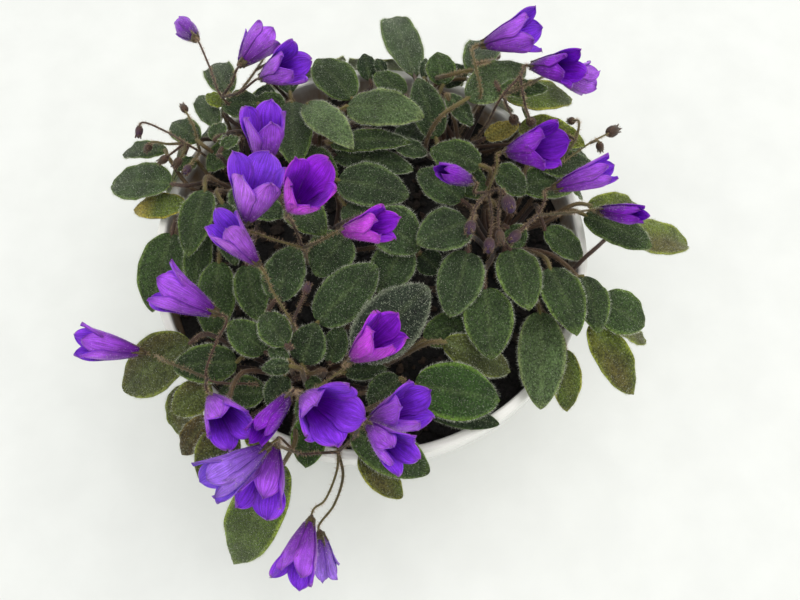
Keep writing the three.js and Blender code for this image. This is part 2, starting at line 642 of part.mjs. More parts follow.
// A leaf is one skin: the stalk's rings run into the blade, whose rows hold the upper and
// lower point of its left edge, midrib and right edge.

function leafSolid(blade) {
  let stations = [0.15, 0.38, 0.64, 0.86];
  if (blade.width < 42) stations = [0.2, 0.5, 0.8];
  if (blade.width < 26 || blade.fixed) stations = [0.3, 0.7];
  const half = BLADE.thickness / 2;
  const rings = leafStalkRings(blade, LEAF_STALK.radius);
  const points = rings.flat();
  const faces = ringFaces(rings);
  const [top, right, left] = [3, 2, 1].map((back) => points.length - back);
  const pair = (s, t) => {
    points.push(bladePoint(blade, s, t, half), bladePoint(blade, s, t, -half));
    return points.length - 2;
  };
  const rows = stations.map((s) => [-1, 0, 1].map((t) => pair(s, t)));
  const tip = pair(1, 0);
  const both = (a, b, c) => faces.push([a, c, b], [a + 1, b + 1, c + 1]);
  const wall = (a, b) => faces.push([a, b + 1, a + 1], [a, b, b + 1]);
  const [edgeL, rib, edgeR] = rows[0];
  faces.push([top, edgeL, rib], [top, rib, edgeR],
    [left, rib + 1, edgeL + 1], [left, right, rib + 1], [right, edgeR + 1, rib + 1],
    [top, edgeL + 1, edgeL], [top, left, edgeL + 1], [top, edgeR, edgeR + 1], [top, edgeR + 1, right]);
  for (let i = 0; i < rows.length - 1; i += 1) {
    const [near, far] = [rows[i], rows[i + 1]];
    for (const j of [0, 1]) {
      both(near[j], near[j + 1], far[j + 1]);
      both(near[j], far[j + 1], far[j]);
    }
    wall(far[0], near[0]);
    wall(near[2], far[2]);
  }
  const last = rows[rows.length - 1];
  both(tip, last[0], last[1]);
  both(tip, last[1], last[2]);
  wall(tip, last[0]);
  wall(last[2], tip);
  return solidOfFaces(points, faces);
}

const ROUTE_STEPS = 24;
const routePoints = (points) => smooth(points).getPoints(ROUTE_STEPS);

function crossesRim(points) {
  return points.some((point) => Math.abs(reachOf(point) - (POT.rimRadius - 1.5)) < 4.5
    && point.z < rimTop + LEAF_STALK.radius + 0.6);
}

function tooNear(points, others, gap) {
  for (const other of others) {
    for (const a of points) {
      for (const b of other) if (a.distanceToSquared(b) < gap * gap) return true;
    }
  }
  return false;
}

// A leaf stalk is bent clear of the flower stalks and of the other crowns' leaf stalks,
// by the way that passes through the fewest blades.

const BOWS = [0, 4, -4, 8, -8, 13, -13, 19, -19];
const LIFTS = [0, 5, -5, 10, -9, 16, 23];

function bladeHits(points, blades, own) {
  let hits = 0;
  for (const blade of blades) {
    if (blade === own) continue;
    const flat = blade.axis.lengthSq();
    for (const point of points) {
      const offset = point.clone().sub(blade.base);
      const s = offset.dot(blade.axis) / flat;
      if (s > 0 && s < 1) {
        const t = offset.dot(blade.across) / (blade.half * bladeWidth(s));
        const off = point.distanceTo(bladePoint(blade, s, Math.min(Math.max(t, -1), 1)));
        if (off < LEAF_STALK.radius + 1) hits += 1;
      }
    }
  }
  return hits;
}

function layLeafStalks(blades, flowerStalks) {
  const taken = flowerStalks.map((points) => ({ crown: null, points }));
  for (const blade of blades) {
    const others = taken.filter((item) => item.crown !== blade.crown).map((item) => item.points);
    const kin = taken.filter((item) => item.crown === blade.crown).flatMap((item) => item.points);
    const { foot } = CROWNS[blade.crown];
    let best = null;
    for (const lift of LIFTS) {
      for (const bow of BOWS) {
        const route = leafStalkPath(blade, bow, lift);
        const points = routePoints(route);
        if (crossesRim(points) || tooNear(points, others, LEAF_STALK.apart)) continue;
        const outer = points.filter((point) => point.distanceTo(foot) > LEAF_STALK.hub);
        const touches = outer.filter((point) => (
          kin.some((other) => other.distanceToSquared(point) < LEAF_STALK.kin ** 2))).length;
        const strain = Math.abs(bow) / 8 + (lift > 0 ? lift / 2.5 : -lift / 10);
        const cost = bladeHits(points, blades, blade) * 3 + touches + strain;
        if (!best || cost < best.cost) best = { route, points, cost };
      }
    }
    blade.stalk = best ? best.route : leafStalkPath(blade, 0, 0);
    taken.push({ crown: blade.crown, points: routePoints(blade.stalk) });
  }
}

function stemSolid(foot, grow = 0) {
  return peg(foot, soilTop - STEM.sunk - grow, soilTop + STEM.proud + grow,
    STEM.radius + grow, STEM.sides);
}

// ---------------------------------------------------------------- pot and soil

function potSolid() {
  const { height, rimRadius, baseRadius, wall, floor, collar, step, lip, sides } = POT;
  const under = rimRadius - step;
  const outline = [[0, 0], [baseRadius - 2, 0], [baseRadius, 2], [under, height - collar],
    [rimRadius, height - collar + 1], [rimRadius, height - lip], [rimRadius - lip, height],
    [rimRadius - wall + 0.4, height], [rimRadius - wall - 0.6, height - lip],
    [under - wall, height - collar], [baseRadius - wall + 0.6, floor], [0, floor]];
  const geometry = new THREE.LatheGeometry(outline.map(([x, y]) => new THREE.Vector2(x, y)), sides);
  geometry.rotateX(Math.PI / 2);
  const drains = Array.from({ length: DRAIN.count }, (_, place) => {
    const angle = place * 2 * Math.PI / DRAIN.count;
    const centre = vec(DRAIN.ring * Math.cos(angle), DRAIN.ring * Math.sin(angle), 0);
    return peg(centre, -1, floor + 1, DRAIN.radius, DRAIN.sides);
  });
  return carve(solidOf(geometry), drains);
}

function soilSolid(holes) {
  const { height, rimRadius, baseRadius, wall, floor, collar, step, sides } = POT;
  const inset = CLEARANCE + 0.25;
  const shoulder = height - collar;
  const shoulderRadius = rimRadius - step - wall - inset;
  const bottomRadius = baseRadius - wall + 0.6 - inset;
  const outline = [[0, floor + CLEARANCE], [bottomRadius, floor + CLEARANCE],
    [shoulderRadius, shoulder], [shoulderRadius + 0.3, soilTop - 1.5],
    [56, soilTop], [28, soilTop], [0, soilTop]];
  const geometry = new THREE.LatheGeometry(outline.map(([x, y]) => new THREE.Vector2(x, y)), sides);
  const position = geometry.attributes.position;
  for (let index = 0; index < position.count; index += 1) {
    const [x, y, z] = [position.getX(index), position.getY(index), position.getZ(index)];
    const reach = Math.hypot(x, z);
    if (Math.abs(y - soilTop) < 0.1 && reach > 1 && reach < 70) {
      position.setY(index, y + SOIL.bump * (noise(Math.round(x), Math.round(z)) - 0.5));
    }
  }
  geometry.rotateX(Math.PI / 2);
  return carve(solidOf(geometry), holes);
}

// ---------------------------------------------------------------- the whole plant

const look = (color, roughness) => new THREE.MeshStandardMaterial({ color, roughness, metalness: 0 });
const LOOKS = {
  pot: look(0xf1efe9, 0.25), soil: look(0x2a211b, 0.95), leaf: look(0x54683c, 0.7),
  stalk: look(0x5d4634, 0.75), petal: look(0x6a3fc4, 0.6) };

const blades = allLeaves();
const bells = layBlooms();
const sprays = Object.fromEntries(Object.entries(SPRAYS)
  .map(([name, spray]) => [name, laySpray(spray, bells)]));
const allStalks = Object.values(sprays).flatMap((spray) => spray.stalks);
layLeafStalks(blades, allStalks.map((stalk) => routePoints(stalk.path)));

const group = new THREE.Group();
group.add(meshOf('pot', potSolid(), LOOKS.pot));

const feet = Object.values(sprays).flatMap((spray) => spray.feet);
const stemHoles = crownNames.map((name) => stemSolid(CROWNS[name].foot, CLEARANCE));
const stalkHoles = feet.map((foot) => peg(foot, soilTop - FLOWER_STALK.sunk - CLEARANCE,
  soilTop + 5, FLOWER_STALK.radius * 1.3 + CLEARANCE, 4));
group.add(meshOf('soil', soilSolid([...stemHoles, ...stalkHoles]), LOOKS.soil));

for (const [name, spray] of Object.entries(sprays)) {
  const whole = fuse(spray.stalks.map((stalk) => stalkSolid(stalk)));
  group.add(meshOf(`flower_stalks_${name}`, largestBody(whole), LOOKS.stalk));
}

// What a crown's leaves are cut clear of: the other crowns' stalks and stems, and every
// flower stalk.

const foreignTo = (crown, grow) => [
  ...blades.filter((blade) => blade.crown !== crown).map((blade) => stalkTool(blade, grow)),
  ...crownNames.filter((name) => name !== crown).map((name) => stemSolid(CROWNS[name].foot, grow / 2)),
  ...allStalks.map((stalk) => stalkSolid(stalk, grow))];

// Each leaf is cut by itself, which drops its scraps, and the whole crown then a little
// wider, so that no two of its cut edges lie along each other.

for (const crown of crownNames) {
  const [narrow, wide] = [1.8, 2].map((times) => foreignTo(crown, CLEARANCE * times));
  const parts = blades.filter((blade) => blade.crown === crown)
    .map((blade) => largestBody(carve(leafSolid(blade), narrow)));
  const body = largestBody(carve(fuse([stemSolid(CROWNS[crown].foot), ...parts]), wide));
  group.add(meshOf(`leafy_crown_${crown}`, body, LOOKS.leaf));
}

bells.forEach((bell, index) => {
  const others = allStalks.filter((stalk) => stalk.bell !== bell)
    .map((stalk) => stalkTube(stalk.path, CLEARANCE * 2));
  group.add(meshOf(`bloom_${index + 1}`, largestBody(carve(bellSolid(bell), others)), LOOKS.petal));
});

export default group;
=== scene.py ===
import math

import bpy
import numpy as np
from mathutils import Matrix, Vector
from mathutils.geometry import tessellate_polygon


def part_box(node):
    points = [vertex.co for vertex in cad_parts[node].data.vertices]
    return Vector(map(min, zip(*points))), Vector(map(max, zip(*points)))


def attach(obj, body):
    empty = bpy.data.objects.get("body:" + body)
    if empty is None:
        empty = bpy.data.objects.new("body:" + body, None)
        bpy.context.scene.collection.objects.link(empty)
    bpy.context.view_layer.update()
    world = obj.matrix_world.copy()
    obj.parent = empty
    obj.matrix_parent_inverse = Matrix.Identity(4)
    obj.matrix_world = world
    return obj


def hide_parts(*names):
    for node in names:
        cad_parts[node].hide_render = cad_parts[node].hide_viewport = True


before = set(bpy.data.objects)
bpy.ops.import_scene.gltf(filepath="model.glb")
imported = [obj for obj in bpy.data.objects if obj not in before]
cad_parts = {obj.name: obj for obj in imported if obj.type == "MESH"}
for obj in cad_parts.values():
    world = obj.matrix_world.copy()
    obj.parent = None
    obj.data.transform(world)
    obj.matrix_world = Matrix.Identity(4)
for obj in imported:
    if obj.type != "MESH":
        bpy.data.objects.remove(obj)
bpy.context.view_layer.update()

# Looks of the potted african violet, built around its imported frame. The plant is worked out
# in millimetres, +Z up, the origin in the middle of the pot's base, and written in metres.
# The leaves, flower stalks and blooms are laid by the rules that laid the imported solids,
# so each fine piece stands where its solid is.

MM = 0.001

# ---------------- driving sizes (mm)

POT_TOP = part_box("pot")[1].z / MM
RIM_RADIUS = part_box("pot")[1].x / MM
POT = dict(base=62, wall=2.8, floor=3.5, collar=14, step=2.2, lip=1.4, foot=5, segments=144)
SOIL = dict(below_rim=13, off_wall=0.5, off_floor=0.4, waist=60, narrower=4, crumb=0.55,
            rings=46, segments=120, chips=1500)
CHIP = dict(size=(0.8, 3.0), uneven=(0.75, 1.25), long=(0.7, 1.5), wide=(0.6, 1.1),
            high=(0.35, 0.7), lift=(-0.4, 0.9))
SOIL_TOP = POT_TOP - SOIL["below_rim"]
DRAIN = dict(count=5, radius=4, ring=38, sides=32)
STEM = dict(radius=6, sunk=10, proud=11, reach=60, rings=12, sides=14)
BLADE = dict(thickness=1, stack=1.7, arch=0.05, droop=0.07, cup=0.1, steepest=0.6, rows=34,
             columns=18)
LEAF_STALK = dict(radius=1.4, apart=4.2, kin=3.2, hub=15)
FLOWER_STALK = dict(radius=0.5, sunk=8, proud=2.2, from_stem=12, reach=70, bow=5)
CALYX = dict(length=5, sepal=5.2, start=1.6, spread=2.9)
BELL = dict(length=21, lobe=1.08, apart=0.9, over_leaves=1.5, slack=0.05, rings=8, sides=20)
PETAL = dict(count=5, rows=22, columns=12, split=0.54, thickness=0.45, throat=1.9, hairs=56)
BUD = dict(radius=2.4, half=3.2, slim=0.86)
CANOPY = dict(crest=36, reach=97, layer=2, top=4, over_rim=4.5, guess=15)
HANGING = dict(leaves=9, first=16, last=164, inner=88.5, outer=103, over=7, drop=24, width=24)
SETTLE = dict(passes=80, near=0.05, lowest=24, margin=3, rim_band=7)

# ---------------- the eye of the photograph

VIEW = dict(elevation=67.5, roll=1, distance=333, focal=800, centre=(400, 300),
            rim_centre=(371.2, 243.7), size=(800, 600))


def vec(*values):
    return np.array(values, float)


def unit(vector):
    return vector / np.linalg.norm(vector, axis=-1, keepdims=True)


UP = vec(0, 0, 1)
LEVEL = vec(1, 1, 0)                        # times a point, it drops the height
TILT, ROLL = math.radians(VIEW["elevation"]), math.radians(VIEW["roll"])
TO_EYE = vec(0, -math.cos(TILT), math.sin(TILT))
LEVEL_UP = vec(0, math.sin(TILT), math.cos(TILT))
EYE_RIGHT = vec(math.cos(ROLL), 0, 0) + LEVEL_UP * math.sin(ROLL)
EYE_UP = vec(-math.sin(ROLL), 0, 0) + LEVEL_UP * math.cos(ROLL)
MM_PER_PIXEL = VIEW["distance"] / VIEW["focal"]
EYE = (vec(0, 0, POT_TOP) + TO_EYE * VIEW["distance"]
       - EYE_RIGHT * (VIEW["rim_centre"][0] - VIEW["centre"][0]) * MM_PER_PIXEL
       + EYE_UP * (VIEW["rim_centre"][1] - VIEW["centre"][1]) * MM_PER_PIXEL)


def from_pixel(pixel, height):
    """The point at that height which the eye sees at a pixel."""
    ray = (-TO_EYE + EYE_RIGHT * (pixel[0] - VIEW["centre"][0]) / VIEW["focal"]
           + EYE_UP * (VIEW["centre"][1] - pixel[1]) / VIEW["focal"])
    return EYE + ray * ((height - EYE[2]) / ray[2])


def turns(count):
    """Angles that go once round in equal steps."""
    return np.arange(count) * 2 * np.pi / count


def laid_off(base, *ways):
    """The points that amounts of some directions lead to from a base."""
    for amounts, direction in ways:
        base = base + np.asarray(amounts)[..., None] * direction
    return base


def depth_of(points):
    return (EYE - points) @ TO_EYE


def to_pixels(points):
    offset = points - EYE
    scale = VIEW["focal"] / depth_of(points)
    return np.stack([VIEW["centre"][0] + offset @ EYE_RIGHT * scale,
                     VIEW["centre"][1] - offset @ EYE_UP * scale], -1)


def reach_of(points):
    return np.hypot(points[..., 0], points[..., 1])


def canopy_height(reach):
    return POT_TOP + CANOPY["crest"] * (1 - (reach / CANOPY["reach"]) ** 2)


def canopy_reach(pixel):
    """How far from the pot's axis a leaf or bloom is, by a guess of its height."""
    return reach_of(from_pixel(pixel, POT_TOP + CANOPY["guess"]))


def flower_height(pixel):
    return max(canopy_height(canopy_reach(pixel)), POT_TOP - SETTLE["lowest"])


# ---------------- what grows where
# A leaf is seen from the end of its stalk to its tip, and a layer lies over a lower one.
# Its look names a row of LEAF_LOOKS below.


def leaf(stalk_end, tip, width, layer, look=None):
    return dict(stalk_end=stalk_end, tip=tip, width=width, layer=layer, look=look)


CROWNS = {
    "left": dict(middle=(207, 150), leaves=[
        leaf((172, 184), (108, 182), 42, 2, "mid"), leaf((165, 150), (118, 152), 20, 1),
        leaf((185, 205), (130, 208), 28, 1, "yellow_tip"), leaf((205, 190), (187, 253), 34, 3),
        leaf((197, 140), (170, 120), 28, 2), leaf((216, 125), (197, 92), 22, 1),
        leaf((236, 142), (207, 170), 26, 2), leaf((222, 203), (234, 263), 30, 2),
        leaf((240, 185), (242, 220), 24, 1), leaf((172, 234), (150, 310), 46, 1, "mid"),
        leaf((203, 232), (193, 292), 28, 1), leaf((219, 262), (212, 340), 40, 1),
        leaf((247, 265), (258, 320), 34, 3), leaf((214, 140), (222, 122), 17, 3),
        leaf((222, 148), (238, 136), 13, 3), leaf((196, 160), (176, 168), 16, 1),
        leaf((250, 205), (285, 214), 26, 1)]),
    "back": dict(middle=(312, 118), leaves=[
        leaf((224, 105), (206, 94), 16, 2), leaf((228, 92), (212, 58), 30, 1),
        leaf((258, 103), (222, 106), 32, 3), leaf((284, 108), (256, 98), 24, 1),
        leaf((292, 102), (295, 160), 42, 2), leaf((307, 104), (350, 142), 34, 4, "pale"),
        leaf((352, 98), (315, 57), 40, 1), leaf((370, 80), (364, 53), 20, 0),
        leaf((384, 74), (377, 58), 12, 0), leaf((405, 95), (374, 73), 26, 1),
        leaf((347, 106), (422, 112), 42, 3, "pale"), leaf((330, 143), (409, 139), 24, 2),
        leaf((335, 155), (413, 168), 30, 1), leaf((395, 145), (428, 152), 20, 1),
        leaf((400, 150), (420, 120), 28, 0), leaf((300, 150), (335, 172), 28, 1),
        leaf((262, 112), (268, 84), 24, 0), leaf((290, 92), (286, 66), 22, 0)]),
    "upper": dict(middle=(470, 112), leaves=[
        leaf((415, 77), (388, 8), 36, 0, "mid"), leaf((424, 78), (426, 57), 10, 0),
        leaf((443, 85), (438, 51), 30, 1), leaf((441, 85), (468, 66), 24, 0),
        leaf((472, 70), (492, 35), 34, 1), leaf((468, 98), (527, 62), 42, 2, "pale"),
        leaf((436, 138), (418, 77), 34, 1), leaf((447, 95), (474, 125), 20, 1),
        leaf((505, 97), (577, 95), 36, 1, "yellow_edge"), leaf((500, 90), (548, 88), 20, 2),
        leaf((520, 125), (584, 143), 34, 2), leaf((556, 148), (590, 158), 16, 1),
        leaf((485, 138), (519, 124), 20, 2, "dead")]),
    "centre": dict(middle=(322, 222), leaves=[
        leaf((338, 180), (408, 194), 46, 2), leaf((375, 215), (420, 250), 50, 3),
        leaf((345, 235), (315, 275), 48, 1), leaf((405, 245), (378, 292), 44, 1),
        leaf((290, 200), (323, 231), 38, 2), leaf((345, 205), (380, 236), 30, 1),
        leaf((420, 254), (440, 272), 28, 0)]),
    "right": dict(middle=(500, 224), leaves=[
        leaf((480, 165), (430, 147), 36, 3), leaf((485, 195), (437, 155), 34, 2),
        leaf((462, 200), (418, 170), 36, 2), leaf((468, 222), (419, 241), 46, 4),
        leaf((468, 252), (450, 315), 46, 3), leaf((510, 250), (530, 307), 44, 4),
        leaf((508, 228), (524, 246), 26, 2),
        leaf((495, 170), (528, 192), 30, 2), leaf((520, 186), (582, 178), 38, 1),
        leaf((540, 165), (600, 165), 30, 1), leaf((590, 205), (653, 214), 30, 0),
        leaf((610, 235), (695, 242), 38, 1), leaf((585, 215), (654, 245), 36, 2),
        leaf((545, 230), (584, 258), 28, 1), leaf((550, 268), (578, 331), 42, 3),
        leaf((583, 276), (600, 328), 36, 2), leaf((600, 300), (646, 326), 46, 1, "mid"),
        leaf((610, 325), (650, 342), 20, 0), leaf((592, 325), (637, 396), 38, 0, "olive"),
        leaf((540, 312), (542, 409), 48, 2, "pale"), leaf((565, 350), (568, 413), 30, 0, "yellow_edge"),
        leaf((485, 288), (492, 358), 50, 2)]),
    "front": dict(middle=(306, 368), leaves=[
        leaf((275, 300), (296, 245), 42, 3), leaf((286, 345), (262, 312), 32, 5),
        leaf((265, 352), (228, 322), 34, 4), leaf((302, 364), (315, 324), 38, 4),
        leaf((288, 360), (268, 348), 15, 4), leaf((290, 366), (262, 368), 17, 4),
        leaf((330, 362), (341, 326), 26, 2), leaf((318, 322), (376, 264), 50, 2),
        leaf((357, 357), (428, 285), 62, 4, "hairy"), leaf((425, 340), (476, 315), 34, 1),
        leaf((415, 385), (502, 400), 58, 3, "bright"), leaf((345, 372), (387, 368), 20, 1),
        leaf((400, 378), (368, 405), 34, 2), leaf((425, 408), (500, 424), 26, 0),
        leaf((265, 392), (217, 393), 34, 2), leaf((285, 375), (268, 408), 26, 3),
        leaf((312, 415), (305, 469), 36, 2, "bright"),
        leaf((310, 388), (322, 437), 40, 1), leaf((308, 378), (320, 392), 16, 2),
        leaf((237, 362), (172, 366), 40, 3), leaf((190, 343), (119, 390), 58, 2, "aged"),
        leaf((190, 385), (180, 438), 40, 1, "aged"), leaf((210, 385), (172, 413), 36, 2, "aged"),
        leaf((207, 418), (180, 456), 28, 2, "brown"), leaf((232, 428), (200, 483), 44, 3, "aged"),
        leaf((250, 425), (265, 452), 24, 1), leaf((445, 342), (514, 372), 36, 1, "aged"),
        leaf((282, 466), (228, 571), 56, 1, "lime"), leaf((352, 432), (431, 473), 46, 2, "mid"),
        leaf((360, 455), (403, 499), 30, 1, "yellow_edge")]),
}

# A bloom is seen from its calyx to the middle of its mouth. It rises above the canopy,
# and its mouth is nearer the eye than its calyx (1) or further from it (-1). Its near
# lobes stand up before its throat (veil 1) or leave it in sight (veil 0).


def bloom(calyx, mouth, width, rise, nearer, look="violet", opened=1, veil=0.8):
    return dict(calyx=calyx, mouth=mouth, width=width, rise=rise, nearer=nearer,
                look=look, opened=opened, veil=veil)


BLOOMS = [
    bloom((195, 38), (173, 14), 24, 34, -1, "deep", 0.4),
    bloom((242, 63), (258, 26), 33, 34, -1),
    bloom((263, 77), (300, 75), 36, 26, 1),
    bloom((264, 165), (273, 124), 42, 24, 1),
    bloom((247, 220), (267, 176), 52, 26, 1, "light"),
    bloom((291, 209), (318, 188), 46, 16, 1, "magenta", veil=0),
    bloom((255, 261), (229, 227), 34, 14, 1, "light"),
    bloom((345, 231), (385, 229), 32, 14, 1, "magenta"),
    bloom((214, 312), (164, 286), 42, 12, 1),
    bloom((139, 352), (94, 341), 33, 12, 1),
    bloom((353, 358), (389, 330), 42, 14, 1, "magenta", veil=1),
    bloom((212, 398), (241, 421), 42, 12, 1, veil=0.3),
    bloom((287, 398), (266, 426), 26, 10, 1, "deep", 0.6),
    bloom((305, 397), (339, 411), 52, 25, 1, veil=0),
    bloom((372, 420), (416, 403), 45, 16, 1),
    bloom((370, 427), (400, 446), 34, 9, 1),
    bloom((265, 448), (217, 478), 42, 12, 1, "lilac"),
    bloom((275, 449), (267, 491), 46, 14, 1),
    bloom((310, 522), (299, 566), 40, 8, 1),
    bloom((320, 535), (322, 582), 26, 2, -1, "lilac"),
    bloom((470, 181), (438, 177), 22, 8, 1, "deep", 0.15),
    bloom((485, 44), (530, 40), 38, 26, 1),
    bloom((534, 66), (562, 81), 30, 24, 1, "deep"),
    bloom((560, 75), (594, 70), 32, 20, -1),
    bloom((508, 152), (547, 152), 42, 20, 1, "deep", veil=0.3),
    bloom((557, 187), (601, 175), 28, 18, 1),
    bloom((602, 211), (629, 220), 22, 12, 1, "deep", 0.4),
]

# A flower stalk is seen along its points. It starts at the first point of an earlier
# one, or stands in the soil, and it ends in a bloom (by its number) or in a bud.


def to_bloom(points, number):
    return dict(points=points, number=number, rise=0, size=1)


def to_bud(points, rise, size):
    return dict(points=points, number=None, rise=rise, size=size)


SPRAYS = {
    "left_back": dict(crown="back", stalks=[
        to_bloom([(222, 97), (210, 68), (196, 40)], 1),
        to_bloom([(222, 97), (232, 82), (240, 66)], 2),
        to_bloom([(222, 97), (240, 92), (263, 78)], 3),
        to_bud([(240, 92), (256, 70), (269, 50)], 8, 0.8),
        to_bud([(256, 70), (276, 58), (290, 48)], 8, 0.7)]),
    "left_buds": dict(crown="left", stalks=[
        to_bud([(200, 152), (185, 143), (165, 131), (141, 123), (139, 132)], 16, 0.8),
        to_bud([(185, 143), (168, 144), (152, 142), (148, 148)], 12, 0.8),
        to_bud([(185, 143), (176, 150), (163, 160)], 10, 0.8),
        to_bud([(185, 143), (184, 152), (177, 163)], 9, 0.8),
        to_bud([(200, 152), (194, 160), (187, 170)], 9, 0.8),
        to_bud([(200, 152), (194, 128), (184, 108)], 16, 0.8)]),
    "centre": dict(crown="centre", stalks=[
        to_bloom([(303, 248), (275, 240), (252, 232), (247, 221)], 5),
        to_bloom([(303, 248), (292, 222), (291, 210)], 6),
        to_bloom([(303, 248), (322, 240), (345, 231)], 8),
        to_bloom([(292, 222), (276, 192), (264, 166)], 4)]),
    "centre_low": dict(crown="front", stalks=[
        to_bloom([(292, 322), (272, 290), (256, 262)], 7),
        to_bud([(292, 322), (300, 305), (307, 288)], 8, 0.7)]),
    "front_left": dict(crown="front", stalks=[
        to_bloom([(252, 384), (207, 378), (215, 345), (215, 313)], 9),
        to_bloom([(207, 378), (168, 362), (140, 352)], 10),
        to_bloom([(207, 378), (206, 388), (211, 397)], 12)]),
    "front": dict(crown="front", stalks=[
        to_bloom([(300, 396), (325, 382), (345, 367), (353, 359)], 11),
        to_bloom([(300, 396), (303, 396)], 14),
        to_bloom([(300, 396), (292, 392), (288, 397)], 13)]),
    "bottom": dict(crown="front", stalks=[
        to_bloom([(338, 452), (337, 470), (325, 500), (311, 520)], 19),
        to_bloom([(338, 452), (343, 475), (334, 505), (321, 533)], 20),
        to_bloom([(338, 452), (355, 436), (371, 421)], 15),
        to_bloom([(355, 436), (369, 428)], 16),
        to_bloom([(338, 452), (320, 453), (298, 453), (276, 449)], 18),
        to_bloom([(298, 453), (280, 446), (266, 447)], 17)]),
    "right": dict(crown="right", stalks=[
        to_bloom([(488, 192), (497, 166), (507, 153)], 25),
        to_bloom([(488, 192), (474, 192), (471, 182)], 21),
        to_bud([(488, 192), (476, 206), (470, 228)], 9, 1),
        to_bud([(488, 192), (492, 218), (489, 246)], 7, 1),
        to_bud([(488, 192), (502, 190), (509, 205)], 13, 1.3),
        to_bud([(502, 190), (498, 215), (500, 238)], 8, 0.9)]),
    "far_right": dict(crown="right", stalks=[
        to_bloom([(520, 230), (537, 215), (545, 199), (556, 188)], 26),
        to_bloom([(537, 215), (568, 213), (601, 211)], 27),
        to_bud([(537, 215), (526, 226), (514, 237)], 7, 1)]),
    "upper": dict(crown="upper", stalks=[
        to_bloom([(487, 124), (503, 95), (520, 76), (533, 67)], 23),
        to_bloom([(503, 95), (532, 82), (559, 76)], 24),
        to_bud([(503, 95), (508, 108), (514, 120)], 12, 1),
        to_bud([(520, 76), (524, 100), (531, 122)], 12, 1)]),
    "upper_left": dict(crown="upper", stalks=[
        to_bloom([(481, 92), (475, 64), (484, 45)], 22),
        to_bud([(475, 64), (486, 62), (497, 56)], 16, 0.8)]),
    "upper_right": dict(crown="upper", stalks=[
        to_bud([(555, 166), (590, 143), (613, 131)], 22, 1.2),
        to_bud([(590, 143), (598, 141), (600, 147)], 16, 0.8),
        to_bud([(555, 166), (575, 140), (579, 122), (571, 121)], 18, 0.8),
        to_bud([(575, 140), (566, 134), (556, 130)], 14, 0.8)]),
}

DRAW = dict(key=12.9898, place=65.233, spread=43758.5453)
SEEDS = dict(blade_hairs=1000, leaf_stalk_hairs=3000, petal_hairs=5000, stalk_hairs=7000,
             bud_hairs=8000, chips=77)


def noise(*keys):
    """A draw between 0 and 1 that the keys fix. The last keys tell one draw from another."""
    value = sum(math.sin(key * (DRAW["key"] + place * DRAW["place"]) + place) * DRAW["spread"]
                for place, key in enumerate(keys))
    return value - math.floor(value)


# ---------------- smooth curves


def span_weights(points):
    """Cubic spans of the centripetal curve through points, as coefficients for each span."""
    ends = np.vstack([2 * points[0] - points[1], points, 2 * points[-1] - points[-2]])
    spans = []
    for i in range(len(points) - 1):
        p0, p1, p2, p3 = ends[i:i + 4]
        before, here, after = (max(np.sum((end - start) ** 2), 1e-12) ** 0.25
                               for start, end in ((p0, p1), (p1, p2), (p2, p3)))
        leaving = ((p1 - p0) / before - (p2 - p0) / (before + here) + (p2 - p1) / here) * here
        arriving = ((p2 - p1) / here - (p3 - p1) / (here + after) + (p3 - p2) / after) * here
        spans.append((p1, leaving, -3 * p1 + 3 * p2 - 2 * leaving - arriving,
                      2 * p1 - 2 * p2 + leaving + arriving))
    return np.array(spans)


def on_curve(points, shares):
    """Places on the smooth curve through points, where each span is an equal share."""
    spans = span_weights(np.asarray(points, float))
    at = np.clip(np.asarray(shares, float), 0, 1) * len(spans)
    which = np.minimum(at.astype(int), len(spans) - 1)
    part = (at - which)[:, None]
    start, slope, bend, twist = (spans[which][:, order] for order in range(4))
    return start + slope * part + bend * part ** 2 + twist * part ** 3


ROUTE_STEPS = 24


def route_points(points):
    return on_curve(points, np.linspace(0, 1, ROUTE_STEPS + 1))


# ---------------- the roof of leaves
# Leaves are laid from the lowest layer up. Each is raised along the eye's rays until it
# lies clear over what is already there, as the roof keeps it in cells of the picture.

CELL = 5                                    # pixels
SAMPLE = 4                                  # pixels between the points tried on a blade
COLUMNS, ROWS = VIEW["size"][0] // CELL, VIEW["size"][1] // CELL
leaf_roof = np.full((ROWS, COLUMNS), -1e3)


def cells_of(points):
    cells = np.floor(to_pixels(points) / CELL).astype(int)
    return np.clip(cells[..., 0], 1, COLUMNS - 2), np.clip(cells[..., 1], 1, ROWS - 2)


def roof_under(points):
    reach = reach_of(points)
    inside = np.where(reach > RIM_RADIUS - SETTLE["rim_band"], POT_TOP, SOIL_TOP + SETTLE["margin"])
    pot = np.where(reach > RIM_RADIUS + SETTLE["margin"], SETTLE["margin"], inside)
    column, row = cells_of(points)
    nearby = [leaf_roof[row + j, column + i] for i in (-1, 0, 1) for j in (-1, 0, 1)]
    return np.maximum(pot, np.max(nearby, 0))


def blade_frame(spec, base_height, tip_height):
    base = from_pixel(spec["stalk_end"], base_height)
    axis = from_pixel(spec["tip"], tip_height) - base
    along = unit(axis)
    facing = UP + TO_EYE * 0.5
    normal = unit(facing - along * (facing @ along))
    return dict(spec, base=base, axis=axis, length=np.linalg.norm(axis), normal=normal,
                across=np.cross(normal, along),
                half=spec["width"] / 2 * depth_of(base + axis / 2) / VIEW["focal"])


def blade_width(s):
    inner = np.clip(s, 1e-6, 1 - 1e-6)
    return np.where((s <= 0) | (s >= 1), 0, np.sin(np.pi * inner ** 0.85) ** (0.5 + 0.16 * inner))


